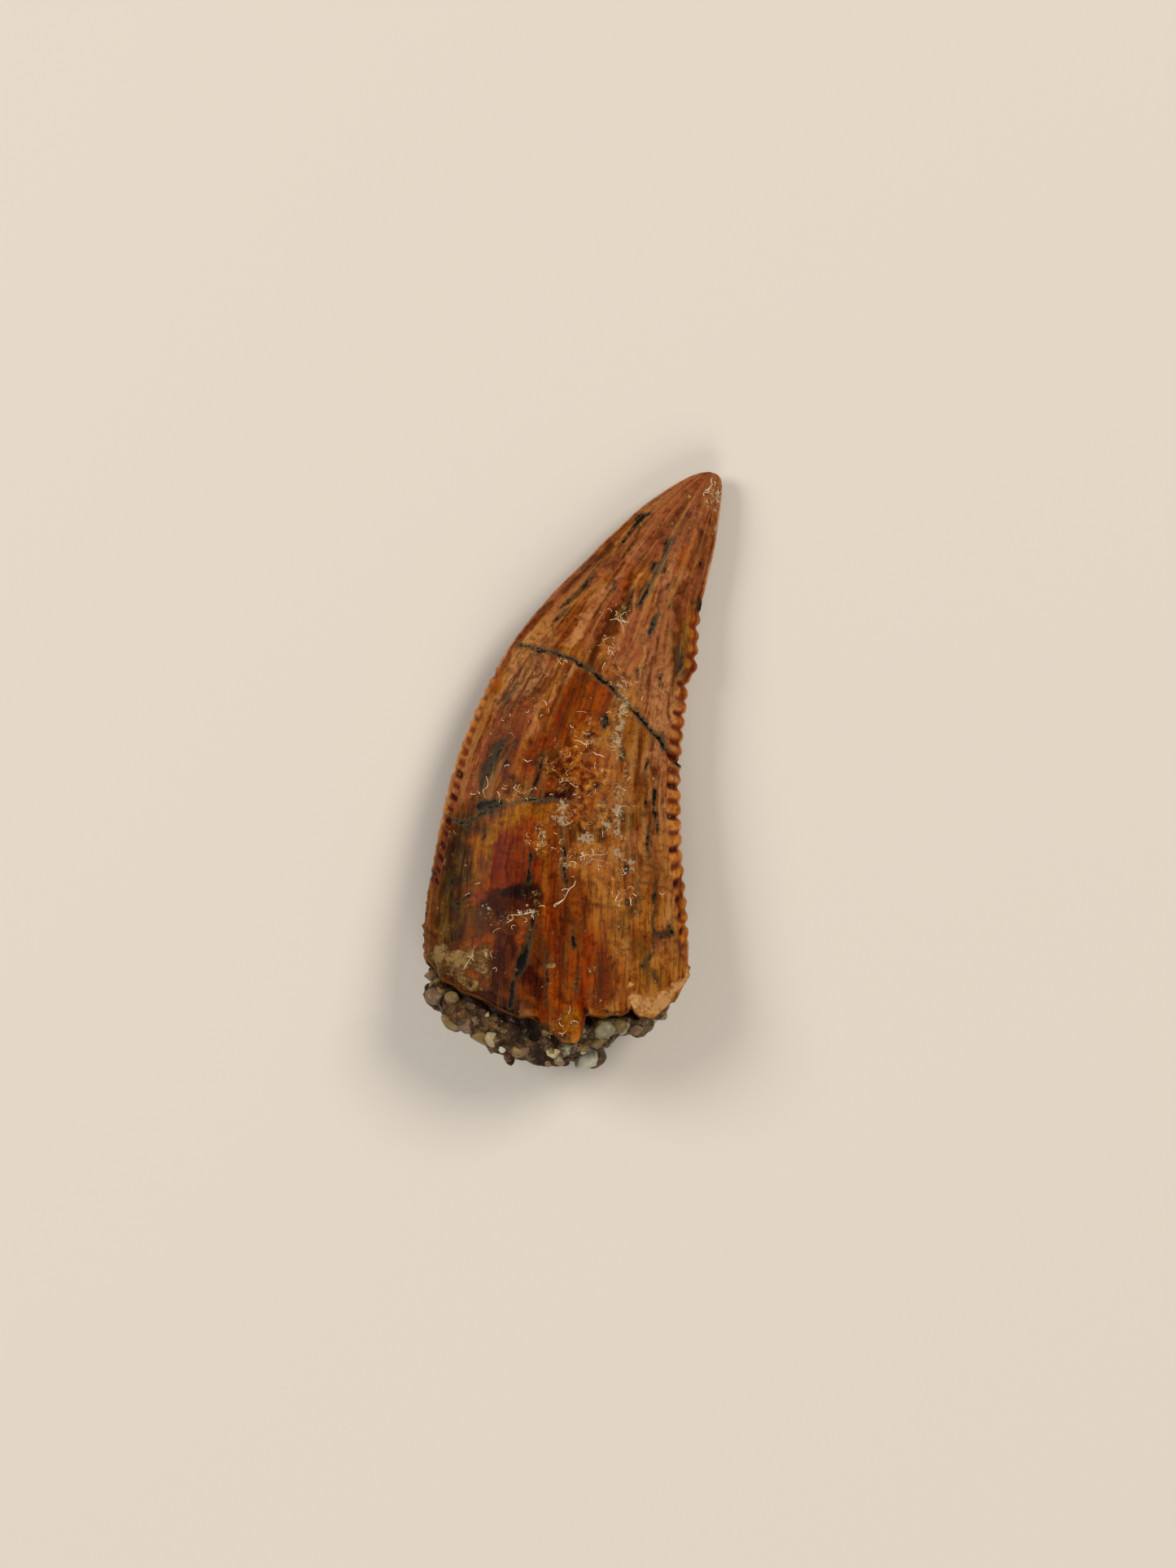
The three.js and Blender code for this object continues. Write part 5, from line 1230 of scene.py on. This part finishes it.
lint = {
    "radius": 0.009,
    "coarseness": 1.15,  # how much thicker the single fibres are than the curls
    # Single fibres, from above, in mm
    "fibres": [
        [(0.07, -3.42), (0.06, -3.56), (-0.12, -3.67), (-0.19, -3.82), (-0.28, -4.0), (-0.44, -4.12),
         (-0.58, -4.19)], [(-0.05, -3.3), (0.0, -3.31), (0.03, -3.3)],
        [(-0.35, -3.72), (-0.28, -3.66), (-0.14, -3.68)],
        [(-0.28, -3.98), (-0.42, -4.08), (-0.55, -4.12), (-0.61, -4.2), (-0.5, -4.22)],
        [(1.33, -1.45), (1.35, -1.33), (1.4, -1.21), (1.53, -1.15), (1.67, -1.19), (1.75, -1.25)],
        [(0.19, -2.72), (0.4, -2.63), (0.58, -2.67), (0.72, -2.63), (0.86, -2.67), (1.04, -2.6)],
        [(0.54, -2.77), (0.7, -2.8), (0.79, -2.81), (0.93, -2.84)],
        [(1.28, -4.05), (1.3, -3.93), (1.42, -3.79)], [(1.49, -3.05), (1.53, -3.16), (1.6, -3.25)],
        [(1.81, -3.82), (1.87, -3.88), (1.93, -3.91)],
        [(2.63, -3.82), (2.68, -3.89), (2.77, -3.87), (2.79, -3.8)],
        [(-2.66, -0.26), (-2.6, -0.42), (-2.6, -0.55), (-2.68, -0.65), (-2.76, -0.68), (-2.74, -0.74),
         (-2.68, -0.93)], [(-1.5, 0.25), (-1.4, 0.17), (-1.36, 0.19), (-1.25, 0.23)],
        [(-2.1, 0.03), (-2.05, 0.1), (-1.94, 0.07)], [(-0.5, 3.35), (-0.43, 3.25), (-0.36, 3.16)],
        [(-3.14, -0.8), (-3.06, -0.83), (-2.98, -0.8)],
        [(-2.02, -4.7), (-1.85, -4.63), (-1.8, -4.5), (-1.92, -4.44), (-1.74, -4.47), (-1.53, -4.44),
         (-1.29, -4.39), (-1.18, -4.37)], [(-1.04, -4.21), (-0.95, -4.14), (-0.85, -4.21)],
        [(-3.29, -3.89), (-3.22, -3.84), (-3.15, -3.82)], [(-3.0, -3.54), (-2.92, -3.53), (-2.83, -3.5)],
        [(-2.43, -5.0), (-2.39, -4.91), (-2.2, -4.86)], [(-3.32, -6.12), (-3.18, -5.9), (-3.04, -5.61)],
        [(-3.1, -5.8), (-3.02, -5.7), (-3.06, -5.5), (-2.95, -5.4)],
        [(-2.9, -7.87), (-2.72, -7.8), (-2.56, -7.86), (-2.37, -7.93), (-2.24, -7.84), (-2.15, -7.68)],
        [(4.28, 8.97), (4.24, 8.85), (4.32, 8.77), (4.2, 8.68), (4.16, 8.56)],
        [(4.11, 8.27), (4.18, 8.18)],
        [(1.12, 4.52), (1.36, 4.59), (1.48, 4.42), (1.54, 4.23), (1.55, 4.13)],
        [(0.88, 3.0), (0.91, 3.12), (0.98, 3.22)], [(0.05, 0.83), (0.2, 0.82), (0.32, 0.72), (0.45, 0.7)],
        [(0.6, 0.48), (0.72, 0.38), (0.8, 0.4), (0.95, 0.32)], [(0.1, 1.7), (0.25, 1.73), (0.4, 1.68)],
        [(1.0, 1.68), (1.1, 1.72), (1.18, 1.68)],
    ],
    # Curls of dust on the worn ground
    "curlSeed": 4,
    "curlCount": 190,
    "curlStep": (0.03, 0.075),
    "curlSteps": (2, 3, 3, 4),
    "curlBend": 1.1,  # most turn at each step, in radians
    "tints": [(0.35, "#b08759"), (0.52, "#d3b894"), (0.66, "#e8dac4")],
}


def makeLint(values, surfaces):
    rng = random.Random(values["curlSeed"])
    paths = [list(path) for path in values["fibres"]]
    while len(paths) < len(values["fibres"]) + values["curlCount"]:
        x, y, length, width, turn, _ = rng.choice(stains["worn"])
        across, along = rng.gauss(0, 0.5) * width, rng.gauss(0, 0.5) * length
        along, across = rotated(along, across, turn)
        point = (x + along, y + across)
        heading = rng.uniform(0, 6.28)
        bend = rng.uniform(-values["curlBend"], values["curlBend"])
        step = rng.uniform(*values["curlStep"])
        path = [point]
        for _ in range(rng.choice(values["curlSteps"])):
            point = (point[0] + step * math.cos(heading), point[1] + step * math.sin(heading))
            heading += bend
            path.append(point)
        paths.append(path)

    curve = bpy.data.curves.new("lint_fibres", "CURVE")
    curve.dimensions = "3D"
    curve.bevel_depth = values["radius"]
    curve.bevel_resolution = 0
    curve.use_fill_caps = True
    for number, path in enumerate(paths):
        width = values["coarseness"] if number < len(values["fibres"]) else 1
        places = []
        for x, y in path:
            hits = [tree.ray_cast(Vector((x, y, 10)), Vector((0, 0, -1)))[0] for tree in surfaces]
            heights = [hit.z for hit in hits if hit]
            if heights:
                places.append((x, y, max(heights) + 0.8 * values["radius"], 1))
        if len(places) < 2:
            continue
        spline = curve.splines.new("NURBS")
        spline.points.add(len(places) - 1)
        for point, place in zip(spline.points, places):
            point.co = place
            point.radius = width
        spline.order_u = min(3, len(places))
        spline.use_endpoint_u = True
        spline.resolution_u = 4
    draft = addPiece("lint_draft", curve)
    fibres = bmesh.new()
    fibres.from_mesh(finalMesh(draft))
    bpy.data.objects.remove(draft)
    bmesh.ops.remove_doubles(fibres, verts=fibres.verts, dist=1e-5)
    bmesh.ops.scale(fibres, vec=(mm,) * 3, verts=fibres.verts)
    bmesh.ops.recalc_face_normals(fibres, faces=fibres.faces)
    return addPiece("lint_fibres", meshFrom(fibres, "lint_fibres"))


def cottonLint(values):
    # Cotton fluff: white, soft and a little see-through, dusty in patches of 0.3 mm
    material, tree = newMaterial("cottonLint")
    place = addNode(tree, "TexCoord", output="Object")
    mottle = addNode(tree, "TexNoise", {"Vector": place, "Scale": 3000.0, "Detail": 1.0})
    colour = addNode(tree, "ValToRGB", [mottle], stops=values["tints"])
    shader = addNode(tree, "BsdfPrincipled", {
        "Base Color": colour, "Roughness": 0.8, "Subsurface Weight": 0.3, "Subsurface Scale": 0.05 * mm})
    addNode(tree, "OutputMaterial", [shader])
    return material


def surfaceTree(piece):
    shape = bmesh.new()
    shape.from_mesh(piece.data)
    bmesh.ops.scale(shape, vec=(1 / mm,) * 3, verts=shape.verts)
    tree = BVHTree.FromBMesh(shape)
    shape.free()
    return tree


finishPiece(makeLint(lint, [surfaceTree(crownPiece), cementTree]), cottonLint(lint), "sandstone")
